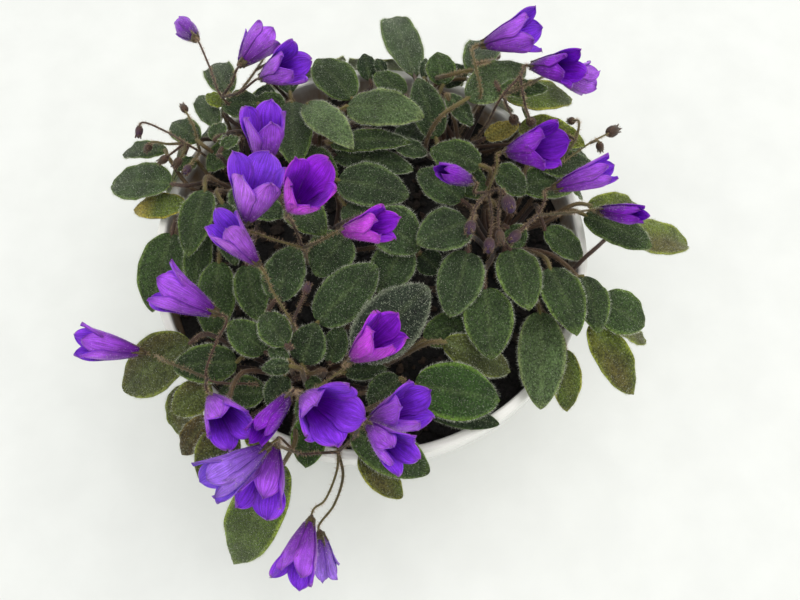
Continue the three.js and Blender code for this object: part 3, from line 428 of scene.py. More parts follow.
def blade_points(blade, s, t, lift=0):
    s, t = np.broadcast_arrays(np.asarray(s, float), np.asarray(t, float))
    width = blade_width(s)
    rise = (blade["length"] * (BLADE["arch"] * 4 * s * (1 - s) - BLADE["droop"] * s * s)
            + blade["cup"] * blade["half"] * width * t * t + lift)
    return laid_off(blade["base"], (s, blade["axis"]),
                    (t * blade["half"] * width, blade["across"]), (rise, blade["normal"]))


def blade_samples(blade):
    along = math.ceil(blade["length"] / MM_PER_PIXEL / SAMPLE)
    across = math.ceil(blade["width"] / SAMPLE)
    s, t = np.meshgrid(np.arange(along + 1) / along, 2 * np.arange(across + 1) / across - 1,
                       indexing="ij")
    return s.ravel(), blade_points(blade, s, t).reshape(-1, 3)


def lay_blade(spec):
    base_height, tip_height = spec["base_height"], spec["tip_height"]
    blade = blade_frame(spec, base_height, tip_height)
    for _ in range(0 if spec.get("fixed") else SETTLE["passes"]):
        shares, points = blade_samples(blade)
        needs = roof_under(points) + BLADE["stack"] - points[:, 2]
        worst = int(np.argmax(needs))
        need, s = needs[worst], shares[worst]
        if need <= SETTLE["near"]:
            break
        share = (1 - s) ** 2 + s ** 2
        base_height += need * (1 - s) / share
        tip_height += need * s / share
        steepest = BLADE["steepest"] * math.hypot(*blade["axis"][:2])
        base_height = max(base_height, tip_height - steepest)
        tip_height = max(tip_height, base_height - steepest)
        blade = blade_frame(spec, base_height, tip_height)
    _, points = blade_samples(blade)
    column, row = cells_of(points)
    np.maximum.at(leaf_roof, (row, column), points[:, 2] + BLADE["thickness"] / 2)
    return blade


def hanging_leaves():
    """Behind, where the eye doesn't reach, leaves hang over the rim."""
    specs = []
    for place in range(HANGING["leaves"]):
        share = (place + 0.5) / HANGING["leaves"]
        angle = math.radians(HANGING["first"] + (HANGING["last"] - HANGING["first"]) * share)
        heading = vec(math.cos(angle), math.sin(angle), 0)
        drop = HANGING["drop"] * (0.8 + 0.4 * noise(place))
        base = heading * HANGING["inner"] + UP * (POT_TOP + HANGING["over"])
        tip = heading * HANGING["outer"] + UP * (POT_TOP - drop)
        spec = leaf(to_pixels(base), to_pixels(tip), HANGING["width"] / MM_PER_PIXEL, -1)
        specs.append(dict(spec, base_height=base[2], tip_height=tip[2], fixed=True))
    return specs


for crown in CROWNS.values():
    spot = from_pixel(crown["middle"], SOIL_TOP + 20) * LEVEL
    spot *= min(1, STEM["reach"] / np.linalg.norm(spot))
    crown["foot"] = spot + UP * SOIL_TOP


def all_leaves():
    leaves = []
    for spec in hanging_leaves():
        root = from_pixel(spec["stalk_end"], POT_TOP)
        crown = min(CROWNS, key=lambda name: np.linalg.norm(CROWNS[name]["foot"] - root))
        leaves.append(dict(spec, crown=crown))
    for crown in CROWNS:
        for spec in CROWNS[crown]["leaves"]:
            level = (spec["layer"] - CANOPY["top"]) * CANOPY["layer"]
            base, tip = (canopy_height(canopy_reach(spec[end])) + level
                         for end in ("stalk_end", "tip"))
            leaves.append(dict(spec, crown=crown, tip_height=tip,
                               base_height=max(base, POT_TOP + CANOPY["over_rim"])))
    for index, spec in enumerate(leaves):
        spec.update(cup=BLADE["cup"] * (1.6 * noise(index, 7) - 0.3), turn=(index * 0.618) % 1,
                    seed=index)
    return [lay_blade(spec) for spec in sorted(leaves, key=lambda spec: spec["layer"])]


# ---------------- where blooms hang


def bell_frame(spec, height):
    base = from_pixel(spec["calyx"], height)
    scale = depth_of(base) / VIEW["focal"]
    sideways = (EYE_RIGHT * (spec["mouth"][0] - spec["calyx"][0])
                + EYE_UP * (spec["calyx"][1] - spec["mouth"][1])) * scale
    towards = math.sqrt(max(BELL["length"] ** 2 - sideways @ sideways, 0))
    axis = sideways + TO_EYE * (spec["nearer"] * towards)
    return dict(spec, base=base, axis=axis, length=np.linalg.norm(axis),
                radius=spec["width"] / 2 * scale)


def bell_radius(bell, s):
    return bell["radius"] * np.minimum(1, 0.15 + 1.4 * s)


def bell_samples(bell):
    along = unit(bell["axis"])
    first = unit(np.cross(along, UP))
    second = np.cross(along, first)
    shares = np.arange(BELL["rings"] + 1) / BELL["rings"] * BELL["lobe"]
    s, angle = np.meshgrid(shares, turns(BELL["sides"]))
    radius = bell_radius(bell, s)
    return laid_off(bell["base"], (s, bell["axis"]), (radius * np.cos(angle), first),
                    (radius * np.sin(angle), second)).reshape(-1, 3)


def is_in_bell(points, bell):
    offset = points - bell["base"]
    s = offset @ bell["axis"] / (bell["axis"] @ bell["axis"])
    beside = np.linalg.norm(offset - s[:, None] * bell["axis"], axis=1)
    return ((s > -BELL["slack"]) & (s < BELL["lobe"] + BELL["slack"])
            & (beside < bell_radius(bell, s) + BELL["apart"])).any()


def lay_blooms():
    laid = []
    for spec in BLOOMS:
        height = flower_height(spec["calyx"]) + spec["rise"]
        bell = bell_frame(spec, height)
        for _ in range(SETTLE["passes"]):
            points = bell_samples(bell)
            need = (roof_under(points) + BELL["over_leaves"] - points[:, 2]).max()
            meets = any(is_in_bell(points, other) or is_in_bell(bell_samples(other), bell)
                        for other in laid)
            if need <= SETTLE["near"] and not meets:
                break
            height += max(need, 1)
            bell = bell_frame(spec, height)
        laid.append(bell)
    return laid


# ---------------- where stalks run


def from_soil(path, pixel, crown_foot):
    """The path with the points before it, which rise from the soil beside the crown's stem."""
    under = from_pixel(pixel, SOIL_TOP + 15)
    under[2] = SOIL_TOP
    apart = under - crown_foot
    away = max(FLOWER_STALK["from_stem"], np.linalg.norm(apart) * 0.65)
    foot = (crown_foot + unit(apart) * away) * LEVEL
    foot *= min(1, FLOWER_STALK["reach"] / np.linalg.norm(foot))
    middle = foot + (path[0] - foot) * 0.55
    middle[2] = (SOIL_TOP + path[0][2]) / 2 + 3
    rising = [foot + UP * (SOIL_TOP + height) for height in (-FLOWER_STALK["sunk"], -2, 5)]
    return rising + [middle] + path


def lay_spray(spray, bells):
    heights, stalks = {}, []
    for stalk in spray["stalks"]:
        points = stalk["points"]
        last = len(points) - 1
        bell = bells[stalk["number"] - 1] if stalk["number"] else None
        rooted = points[0] not in heights
        if rooted:
            start = float(roof_under(from_pixel(points[0], POT_TOP + 20))) + FLOWER_STALK["proud"]
        else:
            start = heights[points[0]]
        end = bell["base"][2] if bell else flower_height(points[-1]) + stalk["rise"]
        path = []
        for index, pixel in enumerate(points):
            if pixel not in heights:
                share = index / last
                bow = FLOWER_STALK["bow"] * share * (1 - share)
                even = from_pixel(pixel, start + (end - start) * share + bow)
                low = float(roof_under(even)) + FLOWER_STALK["proud"]
                heights[pixel] = end if index == last else max(even[2], low)
            path.append(from_pixel(pixel, heights[pixel]))
        if bell:
            path[-1] = bell["base"].copy()
            path.insert(-1, bell["base"] - unit(bell["axis"]) * CALYX["length"])
        if rooted:
            path = from_soil(path, points[0], CROWNS[spray["crown"]]["foot"])
        stalks.append(dict(path=np.array(path), bell=bell, size=stalk["size"]))
    return stalks


# A leaf stalk may bow sideways and be lifted by these, in mm, with the plain way first.

BOWS = (0, 4, -4, 8, -8, 13, -13, 19, -19)
LIFTS = (0, 5, -5, 10, -9, 16, 23)


def leaf_stalk_path(blade, bow, lift):
    foot = CROWNS[blade["crown"]]["foot"]
    joint = blade_points(blade, 0, 0)
    flat = (joint - foot) * LEVEL
    outward = unit(flat)
    sideways = np.cross(outward, UP)
    start = foot + outward * STEM["radius"] * 0.75
    start[2] = SOIL_TOP + 1.5 + blade["turn"] * (STEM["proud"] - 2.5)
    risen = start + flat * 0.4 + sideways * bow
    risen[2] = SOIL_TOP + STEM["proud"] + (joint[2] - SOIL_TOP - STEM["proud"]) * 0.6 + lift
    approach = joint - blade["axis"] * 0.2 + sideways * bow * 0.4
    approach[2] += min(0, lift * 0.3) - 1
    return np.array([start, risen, approach, joint])


def blade_hits(points, blades):
    """How many of each route's points lie in a blade."""
    hits = np.zeros(points.shape[0])
    for blade in blades:
        offset = points - blade["base"]
        s = offset @ blade["axis"] / (blade["axis"] @ blade["axis"])
        near = (s > 0) & (s < 1)
        if not near.any():
            continue
        t = offset[near] @ blade["across"] / (blade["half"] * blade_width(s[near]))
        off = np.linalg.norm(points[near] - blade_points(blade, s[near], np.clip(t, -1, 1)), axis=-1)
        found = np.zeros(s.shape, bool)
        found[near] = off < LEAF_STALK["radius"] + 1
        hits += found.sum(1)
    return hits


def any_within(points, others, gap):
    """True for each point that lies nearer than gap to one of the others."""
    found = np.zeros(points.shape[:-1], bool)
    low, high = points.reshape(-1, 3).min(0) - gap, points.reshape(-1, 3).max(0) + gap
    for other in others[((others > low) & (others < high)).all(1)]:
        found |= ((points - other) ** 2).sum(-1) < gap * gap
    return found


def lay_leaf_stalks(blades, flower_paths):
    taken = [(None, route_points(path)) for path in flower_paths]
    ways = [(bow, lift) for lift in LIFTS for bow in BOWS]
    effort = np.array([abs(bow) / 8 + max(lift / 2.5, -lift / 10) for bow, lift in ways])
    for blade in blades:
        own = blade["crown"]
        routes = [leaf_stalk_path(blade, bow, lift) for bow, lift in ways]
        points = np.array([route_points(route) for route in routes])
        others = np.vstack([item for crown, item in taken if crown != own])
        kin = np.vstack([np.empty((0, 3))] + [item for crown, item in taken if crown == own])
        over_rim = ((np.abs(reach_of(points) - (RIM_RADIUS - 1.5)) < 4.5)
                    & (points[..., 2] < POT_TOP + LEAF_STALK["radius"] + 0.6)).any(1)
        barred = over_rim | any_within(points, others, LEAF_STALK["apart"]).any(1)
        outer = np.linalg.norm(points - CROWNS[own]["foot"], axis=-1) > LEAF_STALK["hub"]
        touches = (any_within(points, kin, LEAF_STALK["kin"]) & outer).sum(1)
        hits = blade_hits(points, [other for other in blades if other is not blade])
        cost = hits * 3 + touches + effort
        best = 0 if barred.all() else int(np.argmin(np.where(barred, np.inf, cost)))
        blade["stalk"] = routes[best]
        taken.append((own, points[best]))


# ---------------- mesh making


def new_object(name, data):
    made = bpy.data.objects.new(name, data)
    bpy.context.scene.collection.objects.link(made)
    return made


class Skin:
    """Patches of one mesh. Each point has a tint (red, green, blue and hairiness) and a
    place (along, across, seed) in millimetres, which its material's pattern follows."""

    def __init__(self):
        self.points, self.faces, self.tints, self.places, self.count = [], [], [], [], 0

    def add(self, points, faces, tint, place=None):
        points = np.asarray(points, float).reshape(-1, 3)
        tint = np.broadcast_to(np.asarray(tint, float), (len(points), 4))
        place = points if place is None else np.asarray(place, float).reshape(-1, 3)
        self.points.append(points)
        self.tints.append(tint)
        self.places.append(place)
        self.faces += [np.asarray(part) + self.count for part in faces if len(part)]
        self.count += len(points)

    def build(self, name, material, node, slot, smooth=True):
        mesh = bpy.data.meshes.new(name)
        points = np.concatenate(self.points) * MM
        corners = np.concatenate([part.ravel() for part in self.faces])
        sizes = np.concatenate([np.full(len(part), part.shape[1]) for part in self.faces])
        mesh.vertices.add(len(points))
        mesh.vertices.foreach_set("co", points.ravel().astype(np.float32))
        mesh.loops.add(len(corners))
        mesh.loops.foreach_set("vertex_index", corners.astype(np.int32))
        mesh.polygons.add(len(sizes))
        mesh.polygons.foreach_set("loop_start", (np.cumsum(sizes) - sizes).astype(np.int32))
        mesh.update(calc_edges=True)
        mesh.polygons.foreach_set("use_smooth", np.full(len(sizes), smooth))
        tint = mesh.attributes.new("tint", "FLOAT_COLOR", "POINT")
        tint.data.foreach_set("color", np.concatenate(self.tints).ravel().astype(np.float32))
        place = mesh.attributes.new("place", "FLOAT_VECTOR", "POINT")
        place.data.foreach_set("vector", np.concatenate(self.places).ravel().astype(np.float32))
        mesh.materials.append(MATERIALS[material])
        mesh.update()
        piece = new_object(name, mesh)
        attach(piece, "root")
        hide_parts(node)


def grid_faces(rows, columns, wrap=False, flip=False):
    """Quads between the points of a grid, whose last column meets its first if it wraps."""
    i, j = np.meshgrid(np.arange(rows - 1), np.arange(columns if wrap else columns - 1),
                       indexing="ij")
    here, right = i * columns + j, i * columns + (j + 1) % columns
    quads = np.stack([here, right, right + columns, here + columns], -1).reshape(-1, 4)
    return quads[:, ::-1] if flip else quads


def sheet_faces(rows, columns):
    """Faces of a closed sheet: a grid of points, and after it the grid of its other side."""
    count = rows * columns
    grid = np.arange(count).reshape(rows, columns)
    rim = np.concatenate([grid[0], grid[1:, -1], grid[-1, -2::-1], grid[-2:0:-1, 0]])
    after = np.roll(rim, -1)
    walls = np.stack([rim, after, after + count, rim + count], -1)
    return [grid_faces(rows, columns, flip=True), grid_faces(rows, columns) + count, walls]


def ring_faces(rows, sides, flip=False):
    """Faces of a closed body of rings: its skin, and one face over the first ring and the last."""
    ring = np.arange(sides)[None]
    caps = [ring[:, ::-1], ring + (rows - 1) * sides]
    skin = [grid_faces(rows, sides, wrap=True, flip=flip)]
    return skin + [cap[:, ::-1] if flip else cap for cap in caps]


def frames_along(points):
    """Headings, and sides and ups square to them that turn no more than they must."""
    heading = unit(np.gradient(points, axis=0))
    side = unit(np.cross(heading[0], UP + vec(0.1, 0, 0)))
    sides = []
    for step in heading:
        side = unit(side - step * (side @ step))
        sides.append(side)
    sides = np.array(sides)
    return heading, sides, np.cross(heading, sides)


TUBE_END = 0.4                              # how far an end's cone stands out, in radii


def around(angles, first, second):
    """Directions at some angles round from the first of two that are square to each other."""
    return np.cos(angles)[..., None] * first + np.sin(angles)[..., None] * second


def tube(skin, points, radii, tints, sides=8, seed=0):
    """A round tube along points, closed at both ends by a low cone."""
    heading, side, up = frames_along(points)
    angles = turns(sides)
    radii = np.broadcast_to(radii, len(points))
    rings = points[:, None] + around(angles, side[:, None], up[:, None]) * radii[:, None, None]
    count = len(points) * sides
    ends = np.vstack([points[0] - heading[0] * radii[0] * TUBE_END,
                      points[-1] + heading[-1] * radii[-1] * TUBE_END])
    ring = np.arange(sides)
    after = (ring + 1) % sides
    last = count - sides
    caps = [np.stack([after, ring, np.full(sides, count)], -1),
            np.stack([ring + last, after + last, np.full(sides, count + 1)], -1)]
    steps = np.linalg.norm(np.diff(points, axis=0), axis=1)
    length = np.concatenate([[0], np.cumsum(steps)])
    place = np.stack([np.repeat(length, sides), np.tile(angles * radii.mean(), len(points)),
                      np.full(count, seed * 7.0)], -1)
    place = np.vstack([place, place[:1], place[-1:]])
    tints = np.broadcast_to(tints, (len(points), 4))
    tints = np.vstack([np.repeat(tints, sides, 0), tints[:1], tints[-1:]])
    skin.add(np.vstack([rings.reshape(-1, 3), ends]),
             [grid_faces(len(points), sides, wrap=True)] + caps, tints, place)


def spikes(skin, roots, directions, lengths, radius, colour):
    """Hairs: slim closed three-sided spikes."""
    count = len(roots)
    directions = unit(directions)
    side = unit(np.cross(directions, np.where(np.abs(directions[:, 2:]) < 0.8, UP, vec(1, 0, 0))))
    ring = around(turns(3), side[:, None], np.cross(directions, side)[:, None])
    base = roots[:, None] + ring * radius
    tip = roots + directions * lengths[:, None]
    points = np.concatenate([base, tip[:, None]], 1)
    start = np.arange(count)[:, None, None] * 4
    faces = start + np.array([[0, 1, 3], [1, 2, 3], [2, 0, 3], [0, 2, 1]])
    skin.add(points, [faces.reshape(-1, 3)], np.append(colour, 1))


# ---------------- materials


def linear(red, green, blue):
    """A colour of 0 to 255 on screen, as the light that it stands for."""
    values = np.array([red, green, blue]) / 255
    return np.where(values < 0.04045, values / 12.92, ((values + 0.055) / 1.055) ** 2.4)


def blend(first, second, share):
    return first + (second - first) * share


class Nodes:
    """Shader nodes of one material, made and joined by short calls."""

    def __init__(self, name):
        self.material = bpy.data.materials.new(name)
        self.material.use_nodes = True
        self.tree = self.material.node_tree
        self.shader = self.tree.nodes["Principled BSDF"]

    def make(self, kind, settings=None, **inputs):
        node = self.tree.nodes.new(kind)
        for key, value in (settings or {}).items():
            setattr(node, key, value)
        for key, value in inputs.items():
            self.put(node.inputs[key.replace("_", " ")], value)
        return node

    def put(self, socket, value):
        if isinstance(value, bpy.types.NodeSocket):
            self.tree.links.new(value, socket)
        elif isinstance(value, (tuple, list, np.ndarray)) and socket.type == "RGBA":
            socket.default_value = tuple(value[:3]) + (1,)
        else:
            socket.default_value = value

    def attribute(self, name):
        return self.make("ShaderNodeAttribute", dict(attribute_name=name))

    def ramp(self, value, span, to=(0.0, 1.0)):
        """A smooth step from the first of two numbers to the second while the value spans."""
        node = self.make("ShaderNodeMapRange", dict(interpolation_type="SMOOTHSTEP"))
        for key, number in zip(("Value", "From Min", "From Max", "To Min", "To Max"),
                               (value, *span, *to)):
            self.put(node.inputs[key], number)
        return node.outputs["Result"]

    def maths(self, operation, first, second):
        node = self.make("ShaderNodeMath", dict(operation=operation))
        self.put(node.inputs[0], first)
        self.put(node.inputs[1], second)
        return node.outputs[0]

    def mix(self, share, first, second, mode="MIX"):
        node = self.make("ShaderNodeMix", dict(data_type="RGBA", blend_type=mode))
        self.put(node.inputs[0], share)
        self.put(node.inputs[6], first)
        self.put(node.inputs[7], second)
        return node.outputs[2]

    def shade(self, colour, value, span, to):
        """The colour made darker or lighter by a ramp of the value."""
        return self.mix(1.0, colour, self.ramp(value, span, to), "MULTIPLY")

    def noise(self, vector, scale, detail, rough=0.5):
        node = self.make("ShaderNodeTexNoise", Vector=vector, Scale=scale, Detail=detail,
                         Roughness=rough)
        return node.outputs["Fac"]

    def stretch(self, vector, scale):
        node = self.make("ShaderNodeMapping", Vector=vector)
        node.inputs["Scale"].default_value = scale
        return node.outputs["Vector"]

    def bump(self, height, depth):
        node = self.make("ShaderNodeBump", Height=height, Distance=depth * MM, Strength=1.0)
        return node.outputs["Normal"]

    def finish(self, colour, roughness, normal=None, **settings):
        self.put(self.shader.inputs["Base Color"], colour)
        self.put(self.shader.inputs["Roughness"], roughness)
        if normal is not None:
            self.put(self.shader.inputs["Normal"], normal)
        for key, value in settings.items():
            self.put(self.shader.inputs[key.replace("_", " ")], value)
        return self.material


# In a pattern's noise, scale is in bumps per mm of its place.


def leaf_material():
    nodes = Nodes("hairy_leaf")
    tint, place = nodes.attribute("tint"), nodes.attribute("place").outputs["Vector"]
    patches = nodes.noise(place, scale=0.11, detail=3)
    colour = nodes.shade(tint.outputs["Color"], patches, span=(0.32, 0.68), to=(0.72, 1.24))
    cells = nodes.make("ShaderNodeTexVoronoi", dict(feature="DISTANCE_TO_EDGE"), Vector=place,
                       Scale=0.85)
    # darker at the cells' edges, where the quilting's grooves lie lower in the bump: painted shade
    quilt_height_and_groove_shade = nodes.ramp(cells.outputs["Distance"], span=(0.0, 0.3))
    colour = nodes.shade(colour, quilt_height_and_groove_shade, span=(0.0, 1.0), to=(0.86, 1.05))
    fuzz = nodes.noise(place, scale=1.25, detail=3)
    colour = nodes.shade(colour, fuzz, span=(0.34, 0.62), to=(0.5, 1.22))
    hairs = nodes.make("ShaderNodeTexVoronoi", Vector=place, Scale=1.35)
    dots = nodes.ramp(hairs.outputs["Distance"], span=(0.34, 0.12))
    groups = nodes.ramp(nodes.noise(place, scale=0.7, detail=1), span=(0.4, 0.6), to=(0.25, 1.0))
    dots = nodes.maths("MULTIPLY", nodes.maths("MULTIPLY", dots, groups), tint.outputs["Alpha"])
    colour = nodes.mix(nodes.maths("MULTIPLY", dots, 0.7), colour, linear(176, 186, 158))
    height = nodes.maths("ADD", nodes.maths("MULTIPLY", quilt_height_and_groove_shade, 0.5), nodes.maths("MULTIPLY", fuzz, 0.7))
    return nodes.finish(colour, 0.6, nodes.bump(height, depth=0.55), Sheen_Weight=0.04,
                        Sheen_Roughness=0.5, Specular_IOR_Level=0.22)


def stalk_material():
    nodes = Nodes("hairy_stalk")
    tint, place = nodes.attribute("tint"), nodes.attribute("place").outputs["Vector"]
    streaks = nodes.noise(nodes.stretch(place, (0.25, 2.2, 1)), scale=1.0, detail=3)
    colour = nodes.shade(tint.outputs["Color"], streaks, span=(0.25, 0.75), to=(0.62, 1.3))
    return nodes.finish(colour, 0.6, nodes.bump(streaks, depth=0.3), Sheen_Weight=0.15,
                        Specular_IOR_Level=0.35)


def petal_material():
    nodes = Nodes("violet_petal")
    tint, place = nodes.attribute("tint"), nodes.attribute("place").outputs["Vector"]
    veins = nodes.noise(nodes.stretch(place, (0.16, 2.2, 1)), scale=1.0, detail=3, rough=0.6)
    colour = nodes.shade(tint.outputs["Color"], veins, span=(0.3, 0.7), to=(0.6, 1.16))
    cloud = nodes.noise(place, scale=0.22, detail=2)
    colour = nodes.shade(colour, cloud, span=(0.3, 0.7), to=(0.8, 1.14))
    grain = nodes.noise(place, scale=2.6, detail=2)
    colour = nodes.shade(colour, grain, span=(0.3, 0.7), to=(0.9, 1.1))
    height = nodes.maths("ADD", nodes.maths("MULTIPLY", veins, 0.8), nodes.maths("MULTIPLY", grain, 0.5))
    return nodes.finish(colour, 0.42, nodes.bump(height, depth=0.35), Sheen_Weight=0.06,
                        Sheen_Roughness=0.4, Specular_IOR_Level=0.22, Subsurface_Weight=0.4,
                        Subsurface_Scale=1.2 * MM, Subsurface_Radius=(0.7, 0.3, 1.0))


def hair_material():
    nodes = Nodes("plant_hair")
    colour = nodes.attribute("tint").outputs["Color"]
    patches = nodes.noise(nodes.attribute("place").outputs["Vector"], scale=0.3, detail=2)
    colour = nodes.shade(colour, patches, span=(0.3, 0.7), to=(0.85, 1.15))
    return nodes.finish(colour, 0.55, Specular_IOR_Level=0.4)


def soil_material():
    nodes = Nodes("potting_mix")
    colour = nodes.attribute("tint").outputs["Color"]
    crumbs = nodes.noise(nodes.attribute("place").outputs["Vector"], scale=0.7, detail=5, rough=0.7)
    colour = nodes.shade(colour, crumbs, span=(0.3, 0.75), to=(0.45, 1.7))
    roughness = nodes.ramp(crumbs, span=(0.3, 0.7), to=(0.95, 0.75))
    return nodes.finish(colour, roughness, nodes.bump(crumbs, depth=1.0))


def pot_material():
    """Glossy white, mixed to tan where the tint's alpha says: partly stain, partly painted shade."""
    nodes = Nodes("white_gloss")
    place, tint = nodes.attribute("place").outputs["Vector"], nodes.attribute("tint")
    blotches = nodes.noise(nodes.stretch(place, (1, 1, 0.4)), scale=0.06, detail=4, rough=0.6)
    # the tan patches stand for stain and for painted shade on the pot's inner wall
    stain_and_shade_patches = nodes.ramp(blotches, span=(0.3, 0.62), to=(0.35, 1.0))
    share = nodes.maths("MULTIPLY", tint.outputs["Alpha"], stain_and_shade_patches)
    colour = nodes.mix(share, tint.outputs["Color"], linear(158, 130, 100))
    dust = nodes.noise(place, scale=0.25, detail=5, rough=0.65)
    colour = nodes.shade(colour, dust, span=(0.2, 0.8), to=(0.97, 1.0))
    waves = nodes.noise(place, scale=0.035, detail=1)
    roughness = nodes.ramp(dust, span=(0.2, 0.8), to=(0.12, 0.24))
    return nodes.finish(colour, roughness, nodes.bump(waves, depth=0.12), Specular_IOR_Level=0.5,
                        Coat_Weight=0.35, Coat_Roughness=0.06)


MATERIALS = dict(leaf=leaf_material(), stalk=stalk_material(), petal=petal_material(),
                 hair=hair_material(), soil=soil_material(), pot=pot_material())

# ---------------- leaf looks
# Blade and rim colours on screen, and how hairy the blade is.

LEAF_LOOKS = dict(
    # deep: painted shade, for the lowest leaves inside the rim
    deep=((32, 50, 22), (66, 88, 40), 0.3),
    grey=((50, 68, 36), (106, 126, 72), 0.5),
    mid=((52, 71, 33), (108, 130, 60), 0.4),
    bright=((50, 80, 26), (112, 146, 52), 0.4),
    pale=((82, 102, 60), (142, 156, 98), 0.55),
    hairy=((40, 50, 36), (124, 132, 108), 1.0),
    lime=((88, 108, 40), (156, 176, 66), 0.35),
    olive=((100, 114, 36), (160, 168, 62), 0.35),
    aged=((74, 82, 34), (130, 140, 56), 0.4),
    yellow_edge=((84, 100, 36), (172, 168, 66), 0.35),
    yellow_tip=((84, 98, 34), (170, 150, 46), 0.3),
    brown=((88, 74, 34), (132, 116, 52), 0.3),
    dead=((140, 128, 60), (166, 148, 80), 0.2))
BLOTCHED = ("olive", "aged", "yellow_edge")
PLAIN = 0.3                                 # the hairiness of stalks, petals and undersides
UNDERSIDE = linear(112, 122, 78)
RIB = linear(128, 146, 92)
BLOTCH = linear(86, 62, 38)
YELLOWED = linear(178, 158, 70)
HAIR_WHITE = linear(206, 210, 190)
HAIR_TAN = linear(176, 150, 118)
# Stalk colours are deepened to their look under the leaves: partly their own colour, partly painted
# shade; STALK_DARK, the darkest, goes at their feet.
STALK_BROWN = linear(72, 48, 35)
STALK_DARK = linear(42, 28, 22)
STALK_GREEN = linear(100, 92, 42)

ZONES = dict(outer=0.92, middle=0.6)        # where leaves' looks change, in rim radii
RELIEF = dict(rib=0.5, rib_width=0.8, vein=0.24, vein_width=0.11, vein_slant=0.24, pairs=5.5,
              quilt=0.13, quilting=1.3, wave=0.75, ripple=0.35, curl=0.5)
FRINGE = dict(per_mm=7.5, lengths=(0.6, 1.5), radius=0.03)
COVER = dict(plain=0.5, hairy=1.6, lengths=(0.35, 0.9), radius=0.042)


def look_of(blade):
    """Low leaves inside the rim take the dark look as painted shade; inner leaves are grey-green, the
    rim's leaves older and more olive.
    """
    if blade["look"]:
        return blade["look"]
    draw = noise(blade["seed"], 3)
    reach = reach_of(blade["base"] + blade["axis"] * 0.6)
    # the lowest layer inside the rim lies under the others: its dark look is painted shade
    if blade["layer"] <= 0 and reach < RIM_RADIUS:
        return "deep"
    if reach > RIM_RADIUS * ZONES["outer"]:
        return "olive" if draw < 0.6 else "mid"
    if reach > RIM_RADIUS * ZONES["middle"]:
        return "mid" if draw < 0.6 else "grey"
    return "grey" if draw < 0.65 else "mid"


def rising(values, start, slope):
    """0 up to the start, and from there at the slope up to 1."""
    return np.clip((values - start) * slope, 0, 1)


def bumps(x, y, seed):
    """Soft waves over a surface, between about -1 and 1."""
    total = 0
    for wave in range(4):
        angle = 2 * math.pi * noise(seed, wave, 1)
        phase = 2 * math.pi * noise(seed, wave, 2)
        stride = 0.9 + 0.5 * wave
        total = total + np.sin((x * math.cos(angle) + y * math.sin(angle)) * stride + phase)
    return total / 3


def blade_relief(blade, s, t):
    """How far ribs, veins, quilting and waves lift the blade, in mm, and where they run."""
    seed, from_rib = blade["seed"], np.abs(t)
    along, across = s * blade["length"], t * blade["half"] * blade_width(s)
    rib = np.exp(-(across / RELIEF["rib_width"]) ** 2) * (1 - 0.7 * s)
    pairs = RELIEF["pairs"] + 2 * noise(seed, 11)
    phase = pairs * (s - RELIEF["vein_slant"] * from_rib ** 1.2) + np.where(t > 0, 0.3, 0)
    off_vein = np.abs(phase - np.round(phase))
    vein = (np.exp(-(off_vein / RELIEF["vein_width"]) ** 2) * rising(from_rib, 0, slope=6)
            * rising(1 - from_rib, 0, slope=4))
    wave = blade["length"] / 40 * RELIEF["wave"] * np.sin(2 * np.pi * (1.3 * s + noise(seed, 12)))
    ripple = RELIEF["ripple"] * np.sin(2 * np.pi * (4 * s + noise(seed, 13)))
    edge = from_rib ** 3 * (wave + ripple - RELIEF["curl"] * noise(seed, 14))
    quilt = RELIEF["quilt"] * bumps(along * RELIEF["quilting"], across * RELIEF["quilting"], seed)
    return -RELIEF["rib"] * rib - RELIEF["vein"] * vein + quilt + edge, rib, vein


def blade_colours(blade, tone, s, t, rib, vein):
    """Colours of a blade's upper side: pale rim and rib, veins darkened as painted shade in their
    grooves, and an old leaf's marks.
    """
    look = look_of(blade)
    s, t, rib, vein = (values[..., None] for values in (s, t, rib, vein))
    base = linear(*LEAF_LOOKS[look][0]) * tone
    rim = linear(*LEAF_LOOKS[look][1])
    edge, end = rising(np.abs(t), start=0.84, slope=7), rising(s, start=0.9, slope=8)
    colour = base + (rim - base) * np.maximum(edge, end) * 0.75
    colour = blend(colour, RIB, rising(rib, start=0, slope=0.9) * 0.3)
    # darker along the sunken veins: painted shade
    colour = colour * (1 - 0.2 * vein) * (0.9 + 0.24 * np.abs(t) ** 1.6)
    if look in BLOTCHED:
        blotch = np.clip(bumps(s * 2.2, t * 1.1, blade["seed"] + 50), 0, 1)
        colour = colour + (BLOTCH - colour) * blotch * 0.6 * (1 - edge)
    if look == "yellow_tip":
        colour = blend(colour, YELLOWED, rising(s, start=0.45, slope=2.5))
    return colour


def across_shares(columns, crowd):
    """Shares from -1 to 1 across a sheet, closer together near its edges."""
    return np.sin(np.linspace(-1, 1, columns + 1) * np.pi / 2 * crowd) / math.sin(np.pi / 2 * crowd)


def with_alpha(colours, alpha):
    return np.concatenate([colours, np.full((len(colours), 1), alpha)], 1)


def graded(first, second, shares):
    """Tints that go from the first colour to the second."""
    return with_alpha(blend(first, second, np.asarray(shares)[:, None]), PLAIN)


def add_sheet(skin, place, *sides):
    """A closed sheet. Each side is its grid of points, their colours and how hairy it is."""
    tints = [with_alpha(np.broadcast_to(colours, points.shape).reshape(-1, 3), hairy)
             for points, colours, hairy in sides]
    skin.add(np.concatenate([points for points, _, _ in sides]), sheet_faces(*place.shape[:2]),
             np.vstack(tints), np.concatenate([place, place]))


